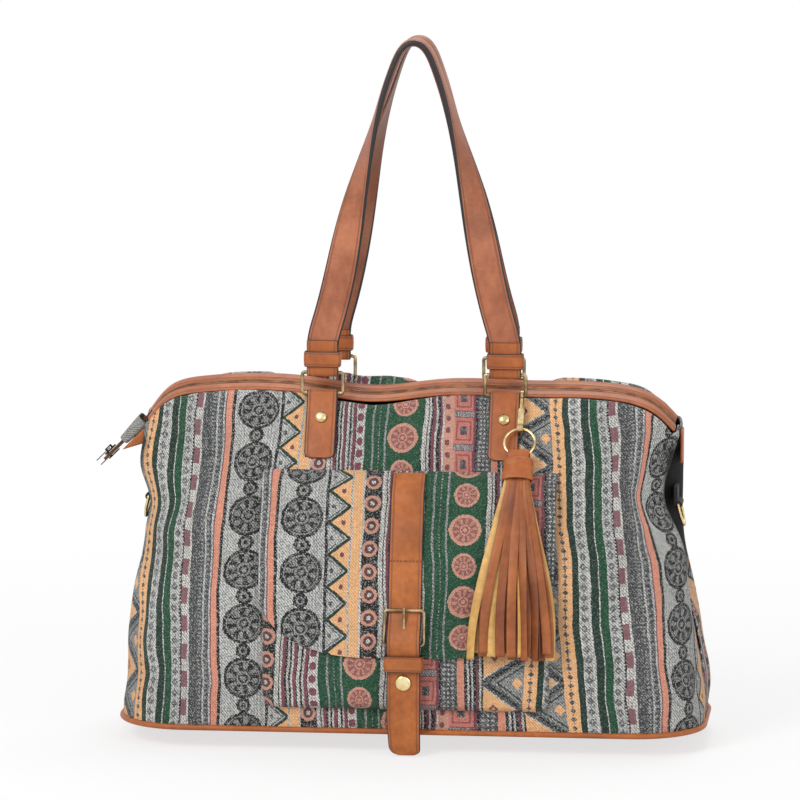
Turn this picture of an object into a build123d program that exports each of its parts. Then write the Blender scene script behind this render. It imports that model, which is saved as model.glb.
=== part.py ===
import os
from math import cos, pi, radians, sin, tan

from build123d import *

os.makedirs("parts", exist_ok=True)

# Body of the bag: a soft box on a sagging base, folded in at both ends, closing to a narrow zipped ridge
base_length = 516.0
base_depth = 190.0
base_corner_radius = 60.0
base_seam_height = 19.0  # the base sags this far below its seam
base_patch_length = 420.0  # flat part of the base that touches the ground
base_patch_depth = 110.0
waist_left = 241.0  # half lengths above the waist; the stuffed bag is a little fuller on its left
waist_right = 236.0
waist_height = 205.0
ridge_height = 311.0
ridge_half_depth = 18.0
shoulder_drop = 29.0  # how far the ridge falls at either end
ridge_dip = 6.0  # sag of the ridge between the handles
ridge_tilt = 16.0  # degrees; the front edge of the zipped ridge lies lower
lean_power = 2.4  # how late the front and back lean in towards the ridge
top_corner_length = 100.0
end_fold_depth = 20.0
end_fold_bottom = 110.0
end_fold_top = 284.0
panel_thickness = 3.0
seam_gap = 0.1  # from the middle plane to the end seam of either panel
lining_thickness = 1.0
lining_slack = 3.0  # the lining hangs loose in the ends
layer_gap = 0.3  # between sewn layers
board_thickness = 2.0
piping_radius = 2.5

# Zip along the ridge, with a tail past the left shoulder
binding_width = 14.0
binding_thickness = 2.2
teeth_width = 2.4
teeth_thickness = 2.2
teeth_slit = 1.3
tape_width = 11.0
tape_thickness = 0.9
tail_length = 62.0
tail_end = 8.0  # bare tape past the slider
cover_start = 6.0
cover_end = 32.0
slider_length = 11.0
pull_length = 16.0
slider_clearance = 0.3

# Patch pocket and its flap
pocket_width = 256.0
pocket_bottom = 38.0
pocket_top = 218.0
pocket_space = 8.0
pocket_thickness = 2.2
flap_width = 262.0
flap_bottom = 87.0
flap_seam_height = 246.0
flap_thickness = 2.2
flap_corner_width = 86.0
flap_corner_height = 55.0

# Belt closure on the pocket
belt_width = 30.0
belt_thickness = 2.4
belt_tip_height = 1.2
buckle_width = 38.0
buckle_wire = 3.0
hinge_bar_height = 99.0
far_bar_height = 129.0
prong_wire = 2.6
keeper_height = 14.0
keeper_thickness = 1.5
keeper_bottom = 76.0
stud_height = 66.0
stud_radius = 6.8

# Handles and the rings that carry them
handle_spread = 81.5
back_handle_spread = 76.0
handle_top = 625.0
strap_width = 29.0
strap_thickness = 3.6
ring_wire = 3.2
ring_inner_width = 33.0
ring_bar_distance = 18.5
front_eye_height = 309.5
back_eye_height = 318.0
eye_depth = 24.5  # from the bag's middle to the ring bars
eye_wall = 2.0
hinge_clearance = 0.1
tab_width = 27.5
tab_bottom_drop = 55.0
tab_corner_radius = 5.0
rivet_radius = 5.4
rivet_shank_radius = 2.0
handle_keeper_height = 14.0
handle_keeper_thickness = 2.2

# Tassel on a snap hook
hook_thickness = 2.3
hook_length = 33.0
hook_rest_angle = 37.0  # degrees from plumb, lying on the front of the bag
split_ring_radius = 13.5
split_ring_wire = 2.6
tassel_head_width = 27.0
tassel_head_depth = 14.0
tassel_head_length = 26.0
tassel_bottom = 85.0
fringe_spread = 76.0
fringe_strips = 9
fringe_strip_width = 7.0
fringe_strip_thickness = 1.6

# Shoulder strap rings at the ends
side_tab_width = 25.0
side_tab_height = 16.0
d_ring_wire = 3.0
d_ring_drop = 20.0
d_ring_hinge_height = 212.0
d_ring_tilt = 14.0

levels = (19.0, 50.0, 85.0, 120.0, 155.0, 190.0, 220.0, 248.0, 272.0, 292.0, 308.0, 330.0)


def blend(low, high, share):
    return low + (high - low) * share


def clamp(share):
    return min(max(share, 0.0), 1.0)


def rise(z):
    return clamp((z - base_seam_height) / (ridge_height - 3.0 - base_seam_height))


def depth_at(z):
    """Half depth of the bag at a height."""
    return blend(base_depth / 2, ridge_half_depth, rise(z) ** lean_power)


def half_length_at(z, waist):
    turn = clamp((z - 30.0) / (waist_height - 30.0))
    return blend(waist, base_length / 2, 0.5 + 0.5 * cos(pi * turn))


def end_fold_at(z):
    share = (z - end_fold_bottom) / (end_fold_top - end_fold_bottom)
    return end_fold_depth * sin(pi * clamp(share))


def end_half_depth_at(z):
    return blend(base_depth / 2 - base_corner_radius, ridge_half_depth - 6.0, rise(z))


def corner_length_at(z):
    return blend(base_corner_radius, top_corner_length, rise(z))


round_handle = 0.5523  # control point share for a quarter ellipse


def half_outline(z, side, inset):
    """Control points of the outline of one half, from the right end seam round to the left one."""
    depth = depth_at(z) - inset
    end = end_half_depth_at(z)
    corner = corner_length_at(z)
    fold = end_fold_at(z)
    right = half_length_at(z, waist_right) - inset
    left = -half_length_at(z, waist_left) + inset
    pull_x = corner * (1 - round_handle)
    pull_y = end + (depth - end) * round_handle
    runs = [
        [(right - fold, seam_gap), (right, end)],
        [(right, end), (right, pull_y), (right - pull_x, depth), (right - corner, depth)],
        [(right - corner, depth), (left + corner, depth)],
        [(left + corner, depth), (left + pull_x, depth), (left, pull_y), (left, end)],
        [(left, end), (left + fold, seam_gap)],
    ]
    return [[(x, side * y, z) for x, y in run] for run in runs]


def edge_through(points):
    return Line(*points) if len(points) == 2 else Bezier(*points)


def closed_wire(runs):
    return Wire([edge_through(points) for points in runs])


def wall_section(z, side, outer_inset, inner_inset):
    outer = half_outline(z, side, outer_inset)
    inner = [run[::-1] for run in half_outline(z, side, inner_inset)[::-1]]
    caps = ([outer[-1][-1], inner[0][0]], [inner[-1][-1], outer[0][0]])
    return closed_wire(outer + [caps[0]] + inner + [caps[1]])


def wall(side):
    """The cloth on one side of the middle plane, which its end seams stop just short of."""
    return Solid.make_loft([wall_section(z, side, 0, panel_thickness) for z in levels])


# The ridge is a curve in the middle plane of the bag, written from left to right
def ridge_curve():
    left_end = (-waist_left + 2.0, ridge_height - shoulder_drop + 2.0)
    right_end = (waist_right - 5.0, ridge_height - shoulder_drop)
    return Spline(
        left_end,
        (-waist_left + 19.0, ridge_height - 8.0),
        (-waist_left + 48.0, ridge_height),
        (-90.0, ridge_height),
        (-38.0, ridge_height - ridge_dip),
        (20.0, ridge_height),
        (100.0, ridge_height),
        (waist_right - 58.0, ridge_height - 2.0),
        (waist_right - 24.0, ridge_height - 12.0),
        right_end,
    )


tilt_slope = tan(radians(ridge_tilt))


def upright(shape):
    """A drawing whose second coordinate is height, stood up in the middle plane."""
    return Plane.XZ * shape


def ridge_band(y_start, y_end, bottom, top):
    """A strip that follows the ridge between two distances from the middle plane."""
    low = Pos(0, bottom + y_start * tilt_slope) * ridge_curve()
    high = Pos(0, top + y_start * tilt_slope) * ridge_curve()
    ends = [Line(low @ 0, high @ 0), Line(low @ 1, high @ 1)]
    face = upright(make_face([low, high] + ends))
    width = y_end - y_start
    length = width * (1 + tilt_slope**2) ** 0.5
    strip = extrude(face, amount=length, dir=(0, 1, tilt_slope))
    return Pos(0, y_start, 0) * strip


def above_ridge(side):
    """All that lies above the seat of the bindings on one side."""
    curve = ridge_curve()
    start, end = curve @ 0, curve @ 1
    reach = 400.0
    roof = Polyline(
        end,
        (reach, end.Y - reach * 0.6),
        (reach, reach),
        (-reach, reach),
        (-reach, start.Y - reach * 0.6),
        start,
    )
    face = upright(make_face([curve, roof]))
    length = 130.0
    return extrude(face, amount=length, dir=(0, side, side * tilt_slope))


tape_inner = teeth_slit / 2 + 0.1
tail_angle = 45.0


def tail_strip(y_start, y_end, bottom, top, start=0.0, length=tail_length):
    """A straight strip of the zip's tail, which slopes down from the left shoulder."""
    block = Pos(-start - length / 2, (y_start + y_end) / 2, (bottom + top) / 2) * Box(
        length, y_end - y_start, top - bottom
    )
    root = ridge_curve() @ 0
    return Pos(root.X - 1.0, 0, root.Y) * Rot(0, -tail_angle, 0) * block


tape_outer = tape_inner + tape_width


def panel(side):
    """One of the two big cloth panels, cut down to the seat of its binding and let down under the zip tape."""
    tape_room = ridge_band(-tape_outer - layer_gap, tape_outer + layer_gap, -tape_thickness - layer_gap, 1.0)
    tail_room = tail_strip(-tape_outer - layer_gap, tape_outer + layer_gap, -tape_thickness - layer_gap, 4.0)
    return wall(side) - above_ridge(side) - tape_room - tail_room


front_panel = panel(-1)
back_panel = panel(1)


def lining_outline(z, inset):
    """Closed outline of the lining, which passes straight across the folds of the ends."""
    depth = depth_at(z) - inset
    end = end_half_depth_at(z)
    corner = corner_length_at(z)
    right = half_length_at(z, waist_right) - end_fold_at(z) - inset - lining_slack
    left = -half_length_at(z, waist_left) + end_fold_at(z) + inset + lining_slack
    pull_x = corner * (1 - round_handle)
    pull_y = end + (depth - end) * round_handle
    back = [
        [(right, end), (right, pull_y), (right - pull_x, depth), (right - corner, depth)],
        [(right - corner, depth), (left + corner, depth)],
        [(left + corner, depth), (left + pull_x, depth), (left, pull_y), (left, end)],
    ]
    front = [[(x, -y) for x, y in run[::-1]] for run in back[::-1]]
    runs = back + [[(left, end), (left, -end)]] + front + [[(right, -end), (right, end)]]
    return closed_wire([[(x, y, z) for x, y in run] for run in runs])


def lining_bag():
    """Thin cloth bag that hangs loosely inside the panels, open along the zip."""
    outer = panel_thickness + layer_gap
    inner = outer + lining_thickness
    floor = base_seam_height + lining_thickness
    bag = Solid.make_loft([lining_outline(z, outer) for z in levels])
    space = Solid.make_loft([lining_outline(z, inner) for z in (floor, *levels[1:])])
    below_zip = Pos(0, 0, -tape_thickness - 8.0)
    return bag - space - below_zip * above_ridge(-1) - below_zip * above_ridge(1)


def base_dish(inset):
    """The sagging base, from its seam down to the flat patch."""
    rim = (base_length - 2 * inset, base_depth - 2 * inset, base_corner_radius - inset)
    middle = (
        blend(base_length, base_patch_length, 0.3) - 2 * inset,
        blend(base_depth, base_patch_depth, 0.3) - 2 * inset,
        base_corner_radius - inset,
    )
    patch = (base_patch_length - 2 * inset, base_patch_depth - 2 * inset, base_corner_radius - 8.0 - inset)
    heights = (base_seam_height - layer_gap, base_seam_height * 0.35, inset)
    sections = [
        Pos(0, 0, z) * RectangleRounded(*size)
        for z, size in zip(heights, (rim, middle, patch))
    ]
    return loft(sections)


base_panel = base_dish(0) - base_dish(panel_thickness)
board_outline = RectangleRounded(
    base_patch_length - 2 * panel_thickness - 6.0,
    base_patch_depth - 2 * panel_thickness - 6.0,
    base_corner_radius - 14.0,
)
base_board = Pos(0, 0, panel_thickness + layer_gap) * extrude(board_outline, amount=board_thickness)


def base_piping_cord():
    reach = piping_radius + layer_gap
    path = RectangleRounded(base_length + 2 * reach, base_depth + 2 * reach, base_corner_radius + reach).wire()
    path = Pos(0, 0, base_seam_height) * path
    start = path @ 0
    section = Plane(origin=start, z_dir=path % 0) * Circle(piping_radius)
    return sweep(section, path=path)


base_piping = base_piping_cord()

# Zip
binding_inner = teeth_slit / 2 + teeth_width + layer_gap
front_binding = ridge_band(-binding_inner - binding_width, -binding_inner, layer_gap, layer_gap + binding_thickness)
back_binding = ridge_band(binding_inner, binding_inner + binding_width, layer_gap, layer_gap + binding_thickness)

def both_sides(make, inner, outer, *sizes):
    return [make(inner, outer, *sizes), make(-outer, -inner, *sizes)]


zip_tape = Compound(
    children=both_sides(ridge_band, tape_inner, tape_outer, -tape_thickness, 0)
    + both_sides(tail_strip, tape_inner, tape_outer, -tape_thickness, 0)
)
teeth_inner = teeth_slit / 2
teeth_outer = teeth_inner + teeth_width
zip_teeth = Compound(
    children=both_sides(ridge_band, teeth_inner, teeth_outer, 0.05, teeth_thickness)
    + both_sides(tail_strip, teeth_inner, teeth_outer, 0.05, teeth_thickness, 0.0, tail_length - 4.0)
)


slider_start = tail_length - tail_end - slider_length


def slider():
    """Slider body: a plate over the teeth and one under the tape, joined by a post between the rows."""
    start = slider_start
    half = teeth_outer + 2.2
    top_low = teeth_thickness + slider_clearance
    under = -tape_thickness - slider_clearance
    plate = tail_strip(-half, half, top_low, top_low + 1.6, start, slider_length)
    foot = tail_strip(-half, half, under - 1.2, under, start, slider_length)
    post_half = teeth_slit / 2 - slider_clearance
    post = tail_strip(-post_half, post_half, under - 0.5, top_low + 0.5, start + slider_length - 3.0, 2.4)
    bridge = tail_strip(-1.2, 1.2, top_low + 1.5, top_low + 4.4, start + 2.0, slider_length - 4.0)
    gap = tail_strip(-2.0, 2.0, top_low + 1.6, top_low + 3.2, start + 3.4, slider_length - 6.8)
    return plate + foot + post + (bridge - gap)


def pull():
    """Short puller: a plate whose end bar lies under the slider's bridge."""
    low = teeth_thickness + slider_clearance + 1.6 + 0.4
    blade = tail_strip(-3.0, 3.0, low, low + 0.8, slider_start + 5.0, pull_length)
    eye = tail_strip(-1.6, 1.6, low - 0.5, low + 2.0, slider_start + 6.0, 4.4)
    return blade - eye


cover_low = -tape_thickness - layer_gap


def tail_cover():
    """Woven cloth folded over the root of the tail."""
    half = tape_outer + 1.6
    sleeve = tail_strip(-half, half, cover_low - 2.0, teeth_thickness + 2.6, cover_start, cover_end - cover_start)
    inside = tail_strip(-half + 1.3, half - 1.3, cover_low, teeth_thickness + 0.5, 0.0, tail_length)
    return sleeve - inside


def tail_patch():
    """Leather triangle under the root of the tail."""
    root = ridge_curve() @ 0
    side = Polyline(
        (root.X - 4.6, root.Y - 9.5), (root.X - 25.5, root.Y - 30.5), (root.X - 4.6, root.Y - 24.0), close=True
    )
    return extrude(upright(make_face(side)), amount=12.0, both=True)


zip_tail_cover = tail_cover()
zip_tail_patch = tail_patch()


def end_patch():
    """Leather patch over the right end of the zip."""
    right = ridge_curve() @ 1
    outline = RectangleRounded(25.0, 30.0, 4.0)
    x = half_length_at(265, waist_right) + layer_gap
    return Pos(x, 0, right.Y - 18.0) * (Rot(0, 90, 0) * Rot(0, 0, 90) * extrude(outline, amount=binding_thickness))


right_zip_end_patch = end_patch()

# The middle of the front runs straight along the bag, so what is sewn on it follows one profile
front_profile = section(front_panel, section_by=Plane.YZ).edges().sort_by(SortBy.LENGTH)[-2:].sort_by(Axis.Y)[0]


def front_block(offset, half_width=140.0):
    """The bag's front half between two planes, grown forwards by an offset."""
    curve = Pos(0, -offset, 0) * front_profile
    ends = [curve @ 0, curve @ 1]
    if ends[0].Z > ends[1].Z:
        ends.reverse()
    low, high = ends
    frame = Polyline(low, (0, 0, low.Z - 1.0), (0, 0, high.Z + 1.0), high)
    return extrude(make_face([curve, frame]), amount=half_width, both=True)


def skin(outline, near, far):
    """A layer on the front of the bag, between two offsets, with its outline drawn from the front."""
    block = extrude(upright(outline), amount=base_depth)
    return (block & front_block(far)) - front_block(near)


def pocket_outline(inset, top):
    width = pocket_width - 2 * inset
    height = top - pocket_bottom - inset
    shape = Pos(0, pocket_bottom + inset + height / 2) * Rectangle(width, height)
    return fillet(shape.vertices().group_by(Axis.Y)[0], 14.0 - inset)


pocket_front = pocket_space + pocket_thickness
pocket_hollow = extrude(upright(pocket_outline(pocket_thickness, pocket_top + 10)), amount=base_depth)
pocket_body = skin(pocket_outline(0, pocket_top), layer_gap, pocket_front) - (
    pocket_hollow & front_block(pocket_space)
)

flap_near = pocket_front + layer_gap
flap_far = flap_near + flap_thickness


def flap_outline():
    half = flap_width / 2
    corner_start = flap_bottom + flap_corner_height
    flat = half - flap_corner_width
    pull_x = flap_corner_width * round_handle
    pull_y = flap_corner_height * round_handle
    right = Bezier(
        (half, corner_start), (half, corner_start - pull_y), (flat + pull_x, flap_bottom), (flat, flap_bottom)
    )
    left = mirror(right, about=Plane.YZ)
    straight = [
        Line((flat, flap_bottom), (-flat, flap_bottom)),
        Line((-half, corner_start), (-half, flap_seam_height)),
        Line((-half, flap_seam_height), (half, flap_seam_height)),
        Line((half, flap_seam_height), (half, corner_start)),
    ]
    return make_face([right, left] + straight)


flap_fold_height = 18.0


def flap():
    """Flap sewn on above the pocket, which rolls out over it."""
    sheet = skin(flap_outline(), flap_near, flap_far)
    fold_bottom = flap_seam_height - flap_fold_height
    strip = Pos(0, fold_bottom + flap_fold_height / 2) * Rectangle(flap_width, flap_fold_height)
    root = skin(strip, layer_gap, flap_far)
    low = (0, -depth_at(fold_bottom) - flap_far, fold_bottom)
    high = (0, -depth_at(flap_seam_height) - flap_thickness - layer_gap, flap_seam_height)
    clear = 20.0
    slope = Polyline(
        low,
        high,
        (0, high[1], high[2] + clear),
        (0, low[1] - clear, high[2] + clear),
        (0, low[1] - clear, low[2]),
        close=True,
    )
    above = extrude(make_face(slope), amount=flap_width, both=True)
    return sheet + root - above


pocket_flap = flap()

# Belt closure: a short belt sewn on the pocket holds the buckle, and the flap's belt passes through it
keeper_back = flap_far + layer_gap
short_belt_back = keeper_back + keeper_thickness + layer_gap
bar_radius = buckle_wire / 2
belt_eye_inner = bar_radius + hinge_clearance
belt_eye_outer = belt_eye_inner + eye_wall
buckle_offset = short_belt_back + belt_eye_outer


def front_y(z, offset):
    return -depth_at(z) - offset


def closure_y(offset):
    """The buckle, its short belt and the keeper stand upright in one plane."""
    return front_y(keeper_bottom + keeper_height / 2, offset)


hinge_y = closure_y(buckle_offset)
far_bar_y = front_y(far_bar_height, flap_far + 2 * layer_gap + belt_thickness + bar_radius + layer_gap)


def side_face(shape):
    """A drawing with (depth, height) as its coordinates, stood up across the bag."""
    return Plane.YZ * shape


def belt_path():
    over_flap = flap_far + layer_gap + belt_thickness / 2
    under_bar = over_flap + layer_gap
    over_eye = buckle_offset + belt_eye_outer + layer_gap + belt_thickness / 2
    over_short = short_belt_back + 2 * eye_wall + layer_gap + belt_thickness / 2
    seam_z, fold_z = flap_seam_height, flap_seam_height - flap_fold_height
    seam_y, fold_y = front_y(seam_z, flap_thickness + layer_gap), front_y(fold_z, flap_far)
    lift = belt_thickness / 2 + 4 * layer_gap
    hang_y = front_y(50.0, over_short)
    return Spline(
        (blend(seam_y, fold_y, 0.12) - lift, blend(seam_z, fold_z, 0.12)),
        (blend(seam_y, fold_y, 0.55) - lift, blend(seam_z, fold_z, 0.55)),
        (fold_y - lift, fold_z),
        (front_y(fold_z - 16.0, over_flap) - layer_gap, fold_z - 16.0),
        (front_y(fold_z - 34.0, over_flap) - layer_gap, fold_z - 34.0),
        (front_y(160.0, over_flap), 160.0),
        (front_y(far_bar_height + 8, under_bar), far_bar_height + 8),
        (front_y(far_bar_height - 4, under_bar), far_bar_height - 4),
        (closure_y(over_eye), hinge_bar_height),
        (closure_y(over_short + 1.6), keeper_bottom + keeper_height),
        (closure_y(over_short), keeper_bottom),
        (hang_y, 50.0),
        (hang_y + 0.5, belt_tip_height + 20),
        (hang_y + 2.0, belt_tip_height),
    )


def ribbon(path, thickness, width):
    """A strip of even thickness whose side view follows a path drawn as (depth, height)."""
    return extrude(side_face(trace(path, thickness)), amount=width / 2, both=True)


def belt():
    strip = ribbon(belt_path(), belt_thickness, belt_width)
    half = belt_width / 2
    low = belt_tip_height - 2.0
    tip = make_face(
        [
            Line((-half, 260), (half, 260)),
            Line((half, 260), (half, low + 17)),
            Spline((half, low + 17), (half - 5, low + 8), (4.0, low), (-half + 9, low + 9), (-half, low + 20)),
            Line((-half, low + 20), (-half, 260)),
        ]
    )
    hole_low = hinge_bar_height + 3.0
    hole_high = hinge_bar_height + 22.0
    slot = Pos(0, (hole_low + hole_high) / 2) * SlotOverall(hole_high - hole_low, prong_wire + 1.2, rotation=90)
    outline = extrude(upright(tip - slot), amount=base_depth)
    return strip & outline


flap_strap = belt()


def short_belt():
    """Sewn on the pocket below, it ends in an eye on the buckle's hinge bar, slotted for the prong."""
    bottom = 50.0
    bend = keeper_bottom - 3.0
    foot_y = front_y(bottom, pocket_front + layer_gap)
    bend_y = closure_y(short_belt_back)
    thick = 2 * eye_wall
    side = Polyline(
        (foot_y, bottom),
        (bend_y, bend),
        (bend_y, hinge_bar_height),
        (bend_y - thick, hinge_bar_height),
        (bend_y - thick, bend),
        (foot_y - thick, bottom),
        close=True,
    )
    eye = Pos(hinge_y, hinge_bar_height) * Circle(belt_eye_outer)
    bore = Pos(hinge_y, hinge_bar_height) * Circle(belt_eye_inner)
    strip = extrude(side_face(make_face(side) + eye - bore), amount=belt_width / 2 - 1.5, both=True)
    notch = Pos(0, hinge_y, hinge_bar_height) * Box(prong_wire + 1.6, 4 * belt_eye_outer, 2 * belt_eye_outer + 3.0)
    return strip - notch


buckle_strap = short_belt()


def rod(start, end, radius):
    start, end = Vector(*start), Vector(*end)
    return extrude(Plane(origin=start, z_dir=end - start) * Circle(radius), amount=(end - start).length)


def round_loop(corners, radius, bend):
    """A closed wire loop of round section through corners, with rounded bends."""
    path = FilletPolyline(*corners, radius=bend, close=True).wire()
    section = Plane(origin=path @ 0, z_dir=path % 0) * Circle(radius)
    return sweep(section, path=path)


def buckle():
    half = (buckle_width - buckle_wire) / 2
    corners = [
        (half, hinge_y, hinge_bar_height),
        (half, far_bar_y, far_bar_height),
        (-half, far_bar_y, far_bar_height),
        (-half, hinge_y, hinge_bar_height),
    ]
    return round_loop(corners, bar_radius, 3.0)


buckle_frame = buckle()


def prong():
    """Tongue of the buckle: an eye on the hinge bar and a rod whose tip rests on the far bar."""
    eye = Cylinder(belt_eye_outer - 0.4, prong_wire + 0.4, rotation=(0, 90, 0)) - Cylinder(
        belt_eye_inner, prong_wire * 2, rotation=(0, 90, 0)
    )
    eye = Pos(0, hinge_y, hinge_bar_height) * eye
    tip = (0, far_bar_y - bar_radius - prong_wire / 2 - hinge_clearance, far_bar_height + 3.0)
    root = (0, hinge_y - 0.6, hinge_bar_height + belt_eye_inner + 0.9)
    arm = rod(root, tip, prong_wire / 2)
    arm = fillet(arm.edges().sort_by(Axis.Z)[-1], prong_wire / 2 - 0.3)
    return eye + arm


buckle_prong = prong()


def keeper():
    """Leather loop that holds the belt's tail against the short belt."""
    back = closure_y(keeper_back)
    front = closure_y(short_belt_back + 2 * eye_wall + belt_thickness) - 5.2
    width = belt_width + 4 * layer_gap
    depth = back - front
    hole = RectangleRounded(width, depth - 2 * keeper_thickness, 2.0)
    band = RectangleRounded(width + 2 * keeper_thickness, depth, 3.4)
    return Pos(0, (back + front) / 2, keeper_bottom) * extrude(band - hole, amount=keeper_height)


strap_keeper = keeper()


def stud():
    """Domed snap cap on the belt's tail."""
    face_y = front_y(stud_height, short_belt_back + 2 * eye_wall + layer_gap + belt_thickness) - layer_gap
    profile = make_face(
        [
            Line((0, 0), (stud_radius, 0)),
            Line((stud_radius, 0), (stud_radius, 0.8)),
            Spline((stud_radius, 0.8), (stud_radius * 0.6, 2.3), (0, 2.8), tangents=[(-0.4, 1), (-1, 0)]),
            Line((0, 2.8), (0, 0)),
        ]
    )
    cap = revolve(Plane.XZ * profile, axis=Axis.Z)
    return Pos(0, face_y, stud_height) * Rot(90, 0, 0) * cap


snap_stud = stud()


# Handle hardware: a sewn tab with an eye, a ring, and the handle's own eye in it
bar = ring_wire / 2
eye_inner = bar + hinge_clearance
eye_outer = eye_inner + eye_wall


def tab_frame(side, eye_height):
    """Foot and eye of a tab, as (y, z)."""
    foot_z = eye_height - tab_bottom_drop
    foot = (side * (depth_at(foot_z) + layer_gap + eye_wall), foot_z)
    eye = (side * eye_depth, eye_height)
    return foot, eye


def tab_tilt(side, eye_height):
    foot, eye = tab_frame(side, eye_height)
    run = Vector(eye[0] - foot[0], eye[1] - foot[1])
    return foot, eye, run.length, run.normalized()


def handle_tab(side, x, eye_height):
    foot, eye, length, up = tab_tilt(side, eye_height)
    plate = Pos(0, length / 2) * Rectangle(2 * eye_wall, length)
    side_view = plate + Pos(0, length) * Circle(eye_outer) - Pos(0, length) * Circle(eye_inner)
    strip = extrude(side_view, amount=tab_width / 2, both=True)
    front_view = Pos(0, length / 2 + 5) * Rectangle(tab_width, length + 10)
    front_view = fillet(front_view.vertices().group_by(Axis.Y)[0], tab_corner_radius)
    mask = Rot(0, 90, 0) * extrude(front_view, amount=30, both=True)
    hole = Pos(0, length * 0.62, 0) * Rot(0, 90, 0) * Cylinder(rivet_shank_radius + 0.05, 20)
    flat = (strip & mask) - hole
    plane = Plane(origin=(x, foot[0], foot[1]), x_dir=(0, -up.Y, up.X), z_dir=(-1, 0, 0))
    return plane * flat


def rivet(side, x, eye_height):
    """Dome rivet through a tab, closed by a flat cap behind it."""
    foot, eye, length, up = tab_tilt(side, eye_height)
    face = eye_wall
    profile = make_face(
        [
            Line((0, face + 3.2), (0, -face - 1.2)),
            Line((0, -face - 1.2), (rivet_radius * 0.8, -face - 1.2)),
            Line((rivet_radius * 0.8, -face - 1.2), (rivet_radius * 0.8, -face)),
            Line((rivet_radius * 0.8, -face), (rivet_shank_radius, -face)),
            Line((rivet_shank_radius, -face), (rivet_shank_radius, face)),
            Line((rivet_shank_radius, face), (rivet_radius, face)),
            Spline((rivet_radius, face), (rivet_radius * 0.75, face + 2.3), (0, face + 3.2), tangents=[(0, 1), (-1, 0)]),
        ]
    )
    turned = revolve(Plane.XZ * profile, axis=Axis.Z)
    place = length * 0.62
    centre = (x, foot[0] + up.X * place, foot[1] + up.Y * place)
    outward = Vector(0, side * up.Y, -side * up.X)
    return Plane(origin=centre, z_dir=outward) * turned


def rect_ring(side, x, eye_height):
    half = (ring_inner_width + ring_wire) / 2
    y = side * eye_depth
    high = eye_height + ring_bar_distance
    corners = [
        (x + half, y, eye_height),
        (x + half, y, high),
        (x - half, y, high),
        (x - half, y, eye_height),
    ]
    return round_loop(corners, bar, 2.2)


fold_height = 24.0


def strap_end(side, x, eye_height):
    """The doubled end of a handle, folded round the upper bar of its ring."""
    high = eye_height + ring_bar_distance
    block = Pos(0, fold_height / 2) * Rectangle(2 * eye_outer, fold_height)
    side_view = block + Circle(eye_outer) - Circle(eye_inner)
    side_view -= Pos(0, fold_height / 2 - 4.0) * Rectangle(0.4, 0.1)
    strip = extrude(side_face(side_view), amount=(strap_width - 1.0) / 2, both=True)
    return Pos(x, side * eye_depth, high) * strip


def handle_keeper(side, x, eye_height):
    low = eye_height + ring_bar_distance + eye_outer + 1.5
    width = strap_width - 1.0 + 2 * layer_gap
    depth = 2 * eye_outer + 2 * layer_gap
    grow = 2 * handle_keeper_thickness
    band = RectangleRounded(width + grow, depth + grow, 3.6) - RectangleRounded(width, depth, 0.6)
    return Pos(x, side * eye_depth, low) * extrude(band, amount=handle_keeper_height)


def handle_path(side, spread, eye_height):
    low = eye_height + ring_bar_distance + fold_height
    top = handle_top - strap_thickness / 2
    tall = top - low
    apex_y = side * (strap_width / 2 + 1.0)
    half = [
        (spread, side * eye_depth, low - 3.0),
        (spread * 0.93, side * (eye_depth - 0.6), low + 0.09 * tall),
        (spread * 0.665, side * (eye_depth - 3.5), low + 0.45 * tall),
        (spread * 0.41, side * (eye_depth - 6.0), low + 0.75 * tall),
        (spread * 0.23, side * (eye_depth - 8.0), low + 0.915 * tall),
    ]
    return Spline(*half, (0, apex_y, top), tangents=[(0, 0, 1), (-1, 0, 0)])


strap_sections = 10


def strap_section(path, side, share, low):
    """Cross-section of a handle: flat to the front at its ends, on edge at the top."""
    place = path @ share
    along = path % share
    climb = clamp((place.Z - low - 30.0) / (handle_top - low - 60.0))
    twist = radians(90) * climb * climb * (3 - 2 * climb)
    across = along.cross(Vector(0, 1, 0)).normalized() * side
    width_dir = across * cos(twist) + Vector(0, 1, 0) * sin(twist)
    width_dir = (width_dir - along * width_dir.dot(along)).normalized()
    plane = Plane(origin=place, x_dir=width_dir, z_dir=along)
    return (plane * Rectangle(strap_width, strap_thickness)).wire()


def handle(side, spread, eye_height):
    path = handle_path(side, spread, eye_height)
    low = eye_height + ring_bar_distance + fold_height
    shares = [n / (strap_sections - 1) for n in range(strap_sections)]
    leg = Solid.make_loft([strap_section(path, side, share, low) for share in shares])
    leg = leg + strap_end(side, spread, eye_height)
    return leg + mirror(leg, about=Plane.YZ)


hardware = {}
for name, side, spread, eye_height in (
    ("front", -1, handle_spread, front_eye_height),
    ("back", 1, back_handle_spread, back_eye_height),
):
    hardware[f"{name}_handle"] = handle(side, spread, eye_height)
    for where, x in (("left", -spread), ("right", spread)):
        hardware[f"{name}_{where}_tab"] = handle_tab(side, x, eye_height)
        hardware[f"{name}_{where}_rivet"] = rivet(side, x, eye_height)
        hardware[f"{name}_{where}_ring"] = rect_ring(side, x, eye_height)
        hardware[f"{name}_{where}_handle_keeper"] = handle_keeper(side, x, eye_height)


# Tassel: a snap hook on the free end of the right front ring's lower bar, a split ring and a fringe
hook_x = handle_spread + tab_width / 2 + (ring_inner_width - tab_width) / 4
hang_angle = radians(hook_rest_angle)
hang_down = Vector(0, -sin(hang_angle), -cos(hang_angle))
hook_plane = Plane(origin=(hook_x, -eye_depth, front_eye_height), x_dir=hang_down, z_dir=(1, 0, 0))
hook_mouth = 2.4
hook_wall = 2.1
hook_slot = 15.0
gate_start = 4.0
gate_side = -1  # the mouth faces away from the bag
hook_hole = 2.0


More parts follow.
